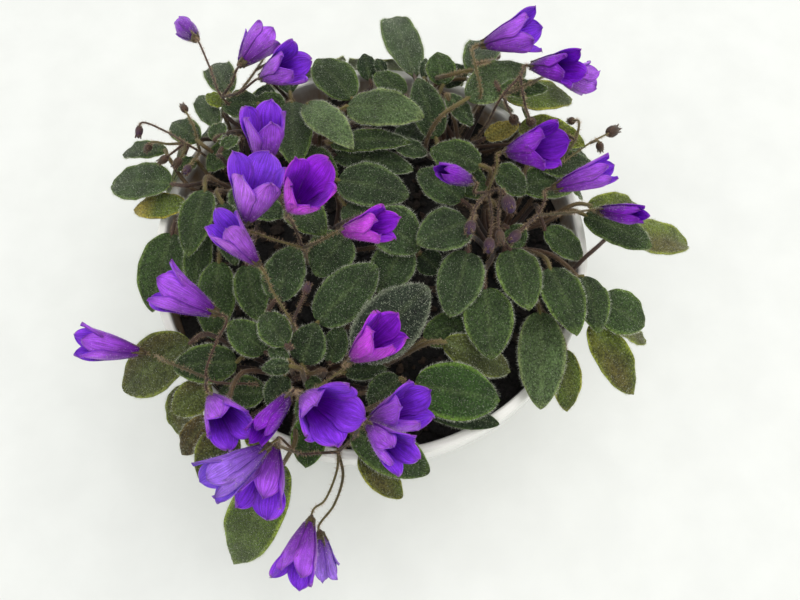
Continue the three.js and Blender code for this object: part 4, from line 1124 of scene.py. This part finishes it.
def add_blade(skin, blade):
    rows = 0.5 - 0.5 * np.cos(np.pi * np.linspace(0.03, 0.985, BLADE["rows"]))
    s, t = np.meshgrid(rows, across_shares(BLADE["columns"], crowd=0.92), indexing="ij")
    lift, rib, vein = blade_relief(blade, s, t)
    half = BLADE["thickness"] / 2 * (1 - 0.5 * np.abs(t) ** 4)
    upper = blade_points(blade, s, t, lift + half)
    under = blade_points(blade, s, t, lift * 0.8 - half - 0.7 * rib - 0.25 * vein)
    tone = 0.8 + 0.4 * noise(blade["seed"], 21)
    colours = blade_colours(blade, tone, s, t, rib, vein)
    place = np.stack([s * blade["length"], t * blade["half"] * blade_width(s),
                      np.full(s.shape, blade["seed"] * 9.0)], -1)
    hairy = LEAF_LOOKS[look_of(blade)][2]
    add_sheet(skin, place, (upper, colours, hairy), (under, UNDERSIDE * tone, PLAIN))


def add_blade_hairs(skin, blade):
    """A fringe of hairs round the blade, and shorter hairs all over its upper side."""
    rng = np.random.default_rng(SEEDS["blade_hairs"] + blade["seed"])
    along, normal = unit(blade["axis"]), blade["normal"]
    count = int(blade["length"] * 2 * FRINGE["per_mm"])
    s = rng.uniform(0.03, 0.985, count)
    t = np.where(rng.random(count) < 0.5, -1.0, 1.0)
    roots = blade_points(blade, s, t, blade_relief(blade, s, t)[0])
    out = (t[:, None] * blade["across"] * (1.2 - s)[:, None] + along * (s ** 2 * 1.2)[:, None]
           + normal * rng.uniform(0.1, 0.9, count)[:, None] + rng.normal(0, 0.25, (count, 3)))
    lengths = rng.uniform(*FRINGE["lengths"], count)
    spikes(skin, roots, out, lengths, FRINGE["radius"], HAIR_WHITE)
    hairy = LEAF_LOOKS[look_of(blade)][2]
    density = COVER["plain"] + COVER["hairy"] * hairy
    count = int(blade["length"] * blade["half"] * density)
    s, t = rng.uniform(0.04, 0.97, count), rng.uniform(-0.96, 0.96, count)
    lift = blade_relief(blade, s, t)[0]
    roots = blade_points(blade, s, t, lift + BLADE["thickness"] * 0.4)
    lean = normal + along * 0.5 + rng.normal(0, 0.35, (count, 3))
    lengths = rng.uniform(*COVER["lengths"], count)
    spikes(skin, roots, lean, lengths, COVER["radius"], HAIR_WHITE)


def stalk_hairs(skin, points, radii, per_mm, longest, seed, radius=0.04):
    """Hairs that stand out all round a stalk."""
    rng = np.random.default_rng(seed)
    _, side, up = frames_along(points)
    length = np.linalg.norm(np.diff(points, axis=0), axis=1).sum()
    count = max(1, int(length * per_mm))
    at = rng.uniform(0, len(points) - 1.001, count)
    low = at.astype(int)
    part = (at - low)[:, None]
    spots = points[low] * (1 - part) + points[low + 1] * part
    out = around(rng.uniform(0, 2 * np.pi, count), side[low], up[low])
    skin_deep = np.broadcast_to(radii, len(points))[low][:, None] * 0.9
    spikes(skin, spots + out * skin_deep, out + rng.normal(0, 0.22, (count, 3)),
           rng.uniform(0.4, 1, count) * longest, radius, HAIR_TAN)


def add_leaf_stalk(stalks, hairs, blade):
    """A leaf's stalk, with two more points under its blade, where it runs out in the rib."""
    shares = np.linspace(0, 1, 26)
    points = np.vstack([on_curve(blade["stalk"], shares),
                        blade_points(blade, np.array([0.02, 0.06]), 0.0, -0.55)])
    shares = np.append(shares, [1, 1])
    radii = np.interp(shares, [0, 0.15, 1], [1.5, 1.0, 0.8])
    radii[-2:] = 0.7, 0.45
    greenish = noise(blade["seed"], 31) < 0.6
    foot, head = (STALK_BROWN, STALK_GREEN) if greenish else (STALK_DARK, STALK_BROWN)
    # darker towards the foot by the soil: partly painted shade under the leaves
    tints = graded(foot, head, shares ** 2)
    tube(stalks, points, radii, tints, sides=10, seed=blade["seed"])
    stalk_hairs(hairs, points[6:-2], radii[6:-2], per_mm=9, longest=1.3,
                seed=SEEDS["leaf_stalk_hairs"] + blade["seed"])


def add_stem(stalks, name):
    """A crown's short thick stem, from in the soil to its rounded top."""
    rings, key = range(STEM["rings"]), list(CROWNS).index(name)
    heights = np.linspace(-STEM["sunk"], STEM["proud"] + 1.5, len(rings))
    wobble = np.array([[noise(key, ring, 1) - 0.5, noise(key, ring, 2) - 0.5, 0] for ring in rings])
    points = CROWNS[name]["foot"] + heights[:, None] * UP + wobble * 0.8
    radii = STEM["radius"] * np.array([0.9 + 0.1 * noise(key, ring, 3) for ring in rings])
    radii[-3:] *= 0.9, 0.7, 0.4
    # darker towards the soil: partly painted shade under the leaves
    tints = graded(STALK_DARK, STALK_BROWN, np.linspace(0, 1, len(rings)))
    tube(stalks, points, radii, tints, sides=STEM["sides"], seed=key)


# ---------------- blooms
# Outer colour near the calyx and at the lobes, and inner colour at the throat and lobes.

PETAL_LOOKS = dict(
    violet=((92, 10, 130), (178, 90, 238), (98, 0, 164), (152, 66, 240)),
    light=((104, 16, 140), (200, 114, 250), (104, 4, 176), (156, 78, 250)),
    deep=((72, 8, 106), (150, 44, 214), (86, 0, 148), (132, 28, 210)),
    magenta=((130, 8, 142), (216, 78, 242), (112, 0, 170), (168, 46, 234)),
    lilac=((92, 36, 140), (160, 108, 230), (112, 40, 196), (146, 92, 238)))
HAIR_PINK = linear(206, 182, 214)
PETAL_FORM = dict(mouth=0.89, turned=0.18, flare=0.12, closed=0.45, wide=1.12, lap=0.35,
                  ripple=0.5, roll=1.4)
PETAL_HAIR = dict(lengths=(0.6, 1.2), radius=0.04)
SEPAL = dict(rows=7, half=0.75, keel=0.35, hollow=0.2)


def bell_sides(bell):
    """A bell's heading and two directions square to it, the first to the eye and the ground."""
    along = unit(bell["axis"])
    toward = TO_EYE - along * (TO_EYE @ along)
    near = unit(toward) if np.linalg.norm(toward) > 0.1 else unit(np.cross(along, EYE_RIGHT))
    level = UP - along * (UP @ along)
    low = -unit(level + near * 0.001)
    face = unit(near * 0.55 + low * 0.45)
    return along, face, np.cross(along, face)


def petal_points(bell, petal, s, a, lift):
    """A petal's surface: its share of the funnel below the split, a rounded lobe above it.
    s goes from the calyx (0) to the lobe's end (1), and a across it (-1 to 1)."""
    along, face, beside = bell_sides(bell)
    seed, width, opened = bell["number"] * 10 + petal, bell["radius"], bell["opened"]
    form, throat = PETAL_FORM, PETAL["throat"]
    angle = petal * 2 * math.pi / PETAL["count"] + form["turned"] * (noise(seed, 1) - 0.5)
    out = face * math.cos(angle) + beside * math.sin(angle)
    far = (1 - math.cos(angle)) / 2
    veil = bell["veil"] * (1 - far)
    widening = np.sin(np.clip(s / 0.8, 0, 1) * np.pi / 2) ** 1.05
    funnel = throat + (width * form["mouth"] - throat) * widening
    lobe = np.clip((s - PETAL["split"]) / (1 - PETAL["split"]), 0, 1)
    flare = form["flare"] + 0.3 * (noise(seed, 2) - 0.35) + 0.1 * far - 0.3 * veil
    flare = flare * opened - form["closed"] * (1 - opened)
    radial = funnel + width * flare * lobe ** 1.5
    fifth = radial * math.sin(math.pi / PETAL["count"]) * form["wide"]
    rounding = np.clip(1 - lobe ** 2.4, 0, 1) ** 0.48
    half = fifth * rounding * (1 + 0.2 * np.sin(np.pi * lobe) + 0.1 * far * lobe)
    offset = a * half + 0.08 * width * lobe * (noise(seed, 4) - 0.5)
    bend = 1 - 0.8 * lobe
    drop = (radial - np.sqrt(np.clip(radial ** 2 - offset ** 2, 0.01, None))) * bend
    length = bell["length"] * (0.9 + 0.15 * far + 0.2 * veil + 0.1 * (noise(seed, 3) - 0.5))
    ripple = np.sin(a * 3.5 + seed * 1.7) + 0.5 * np.sin(a * 8 + seed)
    roll = (noise(seed, 5) - 0.25) * form["roll"] * lobe ** 4
    curl = (form["ripple"] * lobe * ripple + roll) * opened
    radial_out = radial - drop + lift + form["lap"] * a + curl
    height = length * s - 0.02 * length * lobe * a * a
    return laid_off(bell["base"], (height, along), (radial_out, out),
                    (offset, np.cross(along, out)))


def add_petal_hairs(skin, bell, petal):
    count = PETAL["hairs"]
    rng = np.random.default_rng(SEEDS["petal_hairs"] + bell["number"] * 10 + petal)
    s, a = rng.uniform(0.03, 0.85, count), rng.uniform(-0.9, 0.9, count)
    roots = petal_points(bell, petal, s, a, 0.0)
    outward = petal_points(bell, petal, s, a, 1.0) - roots
    outward = outward + rng.normal(0, 0.25, (count, 3))
    lengths = rng.uniform(*PETAL_HAIR["lengths"], count)
    spikes(skin, roots, outward, lengths, PETAL_HAIR["radius"], HAIR_PINK)


def add_bloom(petals, hairs, bell):
    base_out, lobe_out, throat, lobe_in = (linear(*tone) for tone in PETAL_LOOKS[bell["look"]])
    half_rows, split = PETAL["rows"] // 2, PETAL["split"]
    tips = np.sin(np.linspace(0, 1, half_rows + 1) * np.pi / 2 * 0.975)
    rows = np.concatenate([np.linspace(0.03, split, half_rows)[:-1], split + (1 - split) * tips])
    s, a = np.meshgrid(rows, across_shares(PETAL["columns"], crowd=0.9), indexing="ij")
    shade = rising(s, start=0.06, slope=1.45)[..., None]
    depth = rising(s, start=0.35, slope=2.2)[..., None]
    edge = rising(np.maximum(np.abs(a), s), start=0.9, slope=12)[..., None]
    out_colours = blend(base_out, lobe_out, shade) * (1 - 0.4 * edge)
    in_colours = blend(throat, lobe_in, depth) * (1 - 0.15 * edge)
    for petal in range(PETAL["count"]):
        inner = petal_points(bell, petal, s, a, -PETAL["thickness"])
        outer = petal_points(bell, petal, s, a, 0.0)
        key = (bell["number"] * 10 + petal) * 5.0
        place = np.stack([s * bell["length"], a * bell["radius"] * 0.6, np.full(s.shape, key)], -1)
        add_sheet(petals, place, (inner, in_colours, PLAIN), (outer, out_colours, PLAIN))
        add_petal_hairs(hairs, bell, petal)


# ---------------- flower stalks, calyxes, buds


def add_sepals(skin, hairs, base, along, length, start, spread, seed, colour):
    """Five narrow pointed sepals that stand round a calyx or close over a bud."""
    first = unit(np.cross(along, UP + vec(0.13, 0.07, 0)))
    second = np.cross(along, first)
    rows = np.linspace(0, 1, SEPAL["rows"])
    half = SEPAL["half"] * np.sin(np.pi * (0.22 + 0.76 * rows)) ** 0.8
    radial = start + (spread - start) * rows ** 1.3
    for sepal in range(PETAL["count"]):
        angle = sepal * 2 * math.pi / PETAL["count"] + noise(seed, sepal)
        out = first * math.cos(angle) + second * math.sin(angle)
        side = np.cross(along, out) * half[:, None]
        middle = base + along * (rows * length)[:, None] + out * radial[:, None]
        keel, hollow = middle + out * SEPAL["keel"], middle - out * SEPAL["hollow"]
        rings = np.stack([middle - side, keel, middle + side, hollow], 1)
        tint = np.append(colour * (0.8 + 0.4 * noise(seed, sepal, 3)), PLAIN)
        skin.add(rings, ring_faces(len(rows), 4), tint)
        stalk_hairs(hairs, middle, 0.4, per_mm=5, longest=1.0, seed=seed * 17 + sepal)


def add_calyx(stalks, hairs, bell, seed):
    along = unit(bell["axis"])
    neck = bell["base"] - along * CALYX["length"] * 0.55
    cup = np.array([neck, neck + along * 1.2, neck + along * 2.2, bell["base"] + along * 0.6])
    tints = graded(STALK_BROWN, STALK_GREEN, [0, 0.3, 0.5, 0.5])
    tube(stalks, cup, np.array([0.55, 1.2, 1.85, 1.8]), tints, sides=10, seed=seed)
    add_sepals(stalks, hairs, neck + along * 1.2, along, CALYX["sepal"], CALYX["start"],
               CALYX["spread"], seed, (STALK_BROWN + STALK_GREEN) / 2 * 0.75)


def add_bud(stalks, hairs, centre, heading, size, seed):
    """A closed bud, violet where it will open or brown where it has dried."""
    half = BUD["half"]
    rows = np.linspace(-1, 1, 9)
    body = centre + heading * (rows * half * size)[:, None]
    shape = np.sqrt(np.clip(1 - (rows * 0.96) ** 2, 0.02, 1)) * (1 - 0.22 * rows)
    radii = BUD["radius"] * size * BUD["slim"] * shape
    tip = linear(54, 26, 66) if noise(seed, 43) > 0.55 else linear(58, 48, 30)
    tube(stalks, body, radii, graded(STALK_BROWN, tip, (rows + 1) / 2), sides=12, seed=seed)
    add_sepals(stalks, hairs, body[0], heading, length=half * 2.1 * size, start=size,
               spread=1.5 * size, seed=seed, colour=STALK_BROWN)
    stalk_hairs(hairs, body, radii, per_mm=14, longest=0.9, seed=SEEDS["bud_hairs"] + seed)


def add_flower_stalk(stalks, hairs, item, seed):
    """One stalk with its calyx or bud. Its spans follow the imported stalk's own points."""
    path, bell, thin = item["path"], item["bell"], FLOWER_STALK["radius"]
    shares = np.linspace(0, 1, 9 * (len(path) - 1) + 1)
    points = on_curve(path, shares)
    radii = np.interp(shares, [0, 0.5, 1], [thin * 1.25, thin, thin * 0.75])
    above = points[:, 2] > SOIL_TOP - 1
    green = bell is not None and bell["look"] == "lilac" or noise(seed, 41) > 0.5
    head = STALK_GREEN if green else STALK_BROWN
    # darker towards the foot by the soil: partly painted shade under the leaves
    tints = graded(STALK_DARK, head, np.linspace(0.2, 1, len(shares)))
    tube(stalks, points, radii, tints, seed=seed)
    if above.sum() > 2:
        stalk_hairs(hairs, points[above], radii[above], per_mm=9, longest=1.6,
                    seed=SEEDS["stalk_hairs"] + seed, radius=0.052)
    if bell is None:
        add_bud(stalks, hairs, path[-1], unit(points[-1] - points[-3]), item["size"], seed)
    else:
        add_calyx(stalks, hairs, bell, seed)


# ---------------- pot and soil


def arc(centre, radius, start, end, steps):
    """Points of an outline's rounded corner, from one angle to another in degrees."""
    angles = np.radians(np.linspace(start, end, steps))
    return [(centre[0] + radius * math.cos(a), centre[1] + radius * math.sin(a)) for a in angles]


def circle(radius, height, segments):
    angles = turns(segments)
    return np.stack([radius * np.cos(angles), radius * np.sin(angles), np.full(segments, height)], -1)


def holed_faces(points, loops, upward):
    """Triangles that fill the first of some level loops but for the others, its holes."""
    order = np.concatenate(loops)
    outlines = [[Vector(points[index]) for index in loop] for loop in loops]
    found = np.array(tessellate_polygon(outlines))
    corner = points[order[found]]
    turned = np.cross(corner[:, 1] - corner[:, 0], corner[:, 2] - corner[:, 0])[:, 2] < 0
    wrong = turned != (not upward)
    found[wrong] = found[wrong][:, ::-1]
    return order[found]


def pot_outline():
    """The pot's section as radius and height: from its base up the outside, down the inside."""
    under, shoulder = RIM_RADIUS - POT["step"], POT_TOP - POT["collar"]
    wall, floor, base, lip = POT["wall"], POT["floor"], POT["base"], POT["lip"]
    foot = base - POT["foot"]
    outside = [(foot - 2.2, 1.2), (foot - 1.6, 0.6), (foot - 1.2, 0.0), (foot + 2.4, 0.0)]
    outside += arc((base - 2.4, 2.4), 2.4, -90, -10, 6)
    outside += [(base + (under - base) * share + 1.6 * math.sin(math.pi * share),
                 2.8 + (shoulder - 2.8) * share) for share in np.linspace(0, 1, 14)[1:-1]]
    outside += [(under - 0.1, shoulder - 0.2), (under + 0.5, shoulder + 0.3)]
    outside += arc((RIM_RADIUS - 1.2, shoulder + 2.0), 1.2, -70, 0, 5)
    outside += arc((RIM_RADIUS - lip, POT_TOP - lip), lip, 0, 90, 7)
    outside += arc((RIM_RADIUS - wall + 0.2, POT_TOP - 1.3), 1.3, 90, 180, 7)
    inside = [(RIM_RADIUS - wall - 1.3, POT_TOP - 5), (under - wall, shoulder),
              (under - wall - 0.6, shoulder - 4)]
    inside += [(base - wall + 1 + (under - base) * share, floor + (shoulder - floor) * share)
               for share in (0.7, 0.35, 0)]
    return outside, inside


def build_pot():
    """The pot, turned from its outline, with drain holes through its floor."""
    segments, sides = POT["segments"], DRAIN["sides"]
    outside, inside = pot_outline()
    outline = outside + inside
    # the inner wall below the rim gets the tan: partly stain, partly painted shade
    stain_and_painted_shade = [0.0] * len(outside) + [0.95 if height < POT_TOP - 3 else 0.0 for _, height in inside]
    white = np.tile(linear(238, 236, 230), (len(outline), 1))
    tints = np.repeat(np.column_stack([white, stain_and_painted_shade]), segments, 0)
    rings = [circle(radius, height, segments) for radius, height in outline]
    faces = [grid_faces(len(outline), segments, wrap=True)]
    starts = len(outline) * segments + np.arange(DRAIN["count"] * 2) * sides
    for turn, start in zip(turns(DRAIN["count"]), starts[::2]):
        centre = DRAIN["ring"] * vec(math.cos(turn), math.sin(turn), 0)
        rings += [centre + circle(DRAIN["radius"], z, sides) for z in (outline[0][1], POT["floor"])]
        faces.append(grid_faces(2, sides, wrap=True, flip=True) + start)
    points = np.vstack(rings)
    for level, first in enumerate((0, (len(outline) - 1) * segments)):
        holes = [start + np.arange(sides) for start in starts[level::2]]
        faces.append(holed_faces(points, [np.arange(segments) + first] + holes, upward=level == 1))
    skin = Skin()
    skin.add(points, faces, np.vstack([tints, np.tile(tints[-1], (len(points) - len(tints), 1))]))
    skin.build("pot_body", "pot", "pot", "pot")


LUMP = unit(np.array([(x, y, z) for x in (-1, 0, 1) for y in (-1, 0, 1) for z in (-1, 1)], float))
# Chip colours: the mix's own dark browns, deepened as painted shade under the leaves.
CHIP_COLOURS = [linear(26, 19, 14), linear(40, 29, 21), linear(16, 13, 11), linear(60, 44, 31),
                linear(30, 23, 18)]
CRUMBS = ((0.9, 0.25, 5), (0.7, 0.7, 6), (0.35, 1.7, 8))      # weight, bumps per mm, seed


def lump_faces():
    """Faces of the closed lump that the chips start from: 3 by 3 points below and above."""
    def at(x, y, z):
        return (x * 3 + y) * 2 + z
    quads = []
    for x in (0, 1):
        for y in (0, 1):
            quads.append([at(x, y, 1), at(x + 1, y, 1), at(x + 1, y + 1, 1), at(x, y + 1, 1)])
            quads.append([at(x, y + 1, 0), at(x + 1, y + 1, 0), at(x + 1, y, 0), at(x, y, 0)])
    loop = [(0, 0), (1, 0), (2, 0), (2, 1), (2, 2), (1, 2), (0, 2), (0, 1)]
    for (x, y), (p, q) in zip(loop, loop[1:] + loop[:1]):
        quads.append([at(x, y, 0), at(p, q, 0), at(p, q, 1), at(x, y, 1)])
    return [np.array(quads)]


def add_chip(skin, rng, faces, reach):
    """One chip of bark, peat or grit on the soil."""
    spread = math.sqrt(rng.random()) * reach
    turn = rng.random() * 2 * math.pi
    size = rng.uniform(*CHIP["size"])
    shape = LUMP * rng.uniform(*CHIP["uneven"], (len(LUMP), 1)) * size
    shape = shape * vec(*(rng.uniform(*CHIP[way]) for way in ("long", "wide", "high")))
    spin = rng.random() * 2 * math.pi
    c, d = math.cos(spin), math.sin(spin)
    shape = shape @ np.array([[c, d, 0], [-d, c, 0], [0, 0, 1]])
    height = SOIL_TOP + rng.uniform(*CHIP["lift"])
    spot = vec(spread * math.cos(turn), spread * math.sin(turn), height)
    skin.add(shape + spot, faces, np.append(CHIP_COLOURS[rng.integers(len(CHIP_COLOURS))], 0.2))


def build_soil():
    """A crumbly surface in the pot, with chips of bark and peat on it, near black: the mix's own dark
    brown deepened with painted shade.
    """
    reach = RIM_RADIUS - POT["step"] - POT["wall"] - SOIL["off_wall"]
    base = POT["base"] - POT["wall"]
    lower = [reach - SOIL["narrower"], base, 0.01]
    radii = np.concatenate([np.linspace(0.01, reach, SOIL["rings"]), lower])
    angles = turns(SOIL["segments"])
    x, y = radii[:, None] * np.cos(angles), radii[:, None] * np.sin(angles)
    crumb = sum(weight * bumps(x * scale, y * scale, seed) for weight, scale, seed in CRUMBS)
    z = SOIL_TOP - 0.4 + crumb * SOIL["crumb"]
    bottom = POT["floor"] + SOIL["off_floor"]
    z[SOIL["rings"]:] = np.array([SOIL["waist"], bottom, bottom])[:, None]
    skin = Skin()
    # the soil's near-black tint is partly its own colour, partly painted shade
    skin.add(np.stack([x, y, z], -1), ring_faces(len(radii), SOIL["segments"], flip=True),
             np.append(linear(16, 12, 10), 0.2))
    rng, faces = np.random.default_rng(SEEDS["chips"]), lump_faces()
    for _ in range(SOIL["chips"]):
        add_chip(skin, rng, faces, reach - 3)
    skin.build("soil_surface", "soil", "soil", "soil", smooth=False)


# ---------------- camera, light and floor

SENSOR = 36                                 # mm
FLOOR_REACH = 6                             # from here on in metres
LIT_POINT = Vector((0, 0, 0.1))


def add_camera():
    data = bpy.data.cameras.new("camera")
    data.sensor_fit, data.sensor_width = "HORIZONTAL", SENSOR
    data.lens = SENSOR * VIEW["focal"] / VIEW["size"][0]
    data.clip_start, data.clip_end = 0.01, 20
    camera = new_object("camera", data)
    matrix = np.eye(4)
    for column, values in enumerate((EYE_RIGHT, EYE_UP, TO_EYE, EYE * MM)):
        matrix[:3, column] = values
    camera.matrix_world = Matrix(matrix.tolist())
    bpy.context.scene.camera = camera


def add_area(name, place, size, power, colour):
    data = bpy.data.lights.new(name, "AREA")
    data.energy, data.size, data.color = power, size, colour
    lamp = new_object(name, data)
    lamp.location = place
    lamp.rotation_euler = (LIT_POINT - Vector(place)).to_track_quat("-Z", "Y").to_euler()


def add_floor():
    nodes = Nodes("pale_floor")
    grain = nodes.noise(nodes.make("ShaderNodeTexCoord").outputs["Object"], scale=40, detail=3)
    share = nodes.ramp(grain, span=(0.2, 0.8))
    colour = nodes.mix(share, linear(226, 227, 224), linear(231, 232, 229))
    mesh = bpy.data.meshes.new("floor")
    corners = [(x * FLOOR_REACH, y * FLOOR_REACH, 0) for x, y in ((-1, -1), (1, -1), (1, 1), (-1, 1))]
    mesh.from_pydata(corners, [], [(0, 1, 2, 3)])
    mesh.materials.append(nodes.finish(colour, 0.6, Specular_IOR_Level=0.25))
    floor = new_object("floor", mesh)


def add_lights():
    world = bpy.data.worlds.new("studio")
    world.use_nodes = True
    background = world.node_tree.nodes["Background"]
    background.inputs["Color"].default_value = (0.985, 1.0, 0.985, 1)
    background.inputs["Strength"].default_value = 0.8
    bpy.context.scene.world = world
    add_area("key", (0.8, 0.35, 2.2), size=2.3, power=27, colour=(1.0, 0.99, 0.97))
    add_area("fill", (-1.1, -0.9, 2.0), size=2.0, power=10, colour=(0.98, 1.0, 0.99))
    bpy.context.scene.view_settings.view_transform = "Standard"
    bpy.context.scene.view_settings.look = "None"


# ---------------- the whole plant

add_camera()
add_floor()
add_lights()

blades = all_leaves()
bells = lay_blooms()
for index, bell in enumerate(bells):
    bell["number"] = index + 1
sprays = {name: lay_spray(spray, bells) for name, spray in SPRAYS.items()}
lay_leaf_stalks(blades, [stalk["path"] for stalks in sprays.values() for stalk in stalks])

build_pot()
build_soil()

for name in CROWNS:
    blade_skin, stalk_skin, hair_skin = Skin(), Skin(), Skin()
    add_stem(stalk_skin, name)
    for blade in blades:
        if blade["crown"] == name:
            add_blade(blade_skin, blade)
            add_leaf_stalk(stalk_skin, hair_skin, blade)
            add_blade_hairs(hair_skin, blade)
    node = f"leafy_crown_{name}"
    blade_skin.build(f"leaves_{name}", "leaf", node, "leaf")
    stalk_skin.build(f"leaf_stalks_{name}", "stalk", node, "leaf")
    hair_skin.build(f"leaf_hairs_{name}", "hair", node, "leaf", smooth=False)

for key, (name, stalks) in enumerate(sprays.items()):
    stalk_skin, hair_skin = Skin(), Skin()
    for index, item in enumerate(stalks):
        add_flower_stalk(stalk_skin, hair_skin, item, key * 20 + index)
    node = f"flower_stalks_{name}"
    stalk_skin.build(f"spray_{name}", "stalk", node, "stalk")
    hair_skin.build(f"spray_hairs_{name}", "hair", node, "stalk", smooth=False)

for bell in bells:
    petal_skin, hair_skin = Skin(), Skin()
    add_bloom(petal_skin, hair_skin, bell)
    number = bell["number"]
    petal_skin.build(f"corolla_{number}", "petal", f"bloom_{number}", "petal")
    hair_skin.build(f"corolla_hairs_{number}", "hair", f"bloom_{number}", "petal", smooth=False)
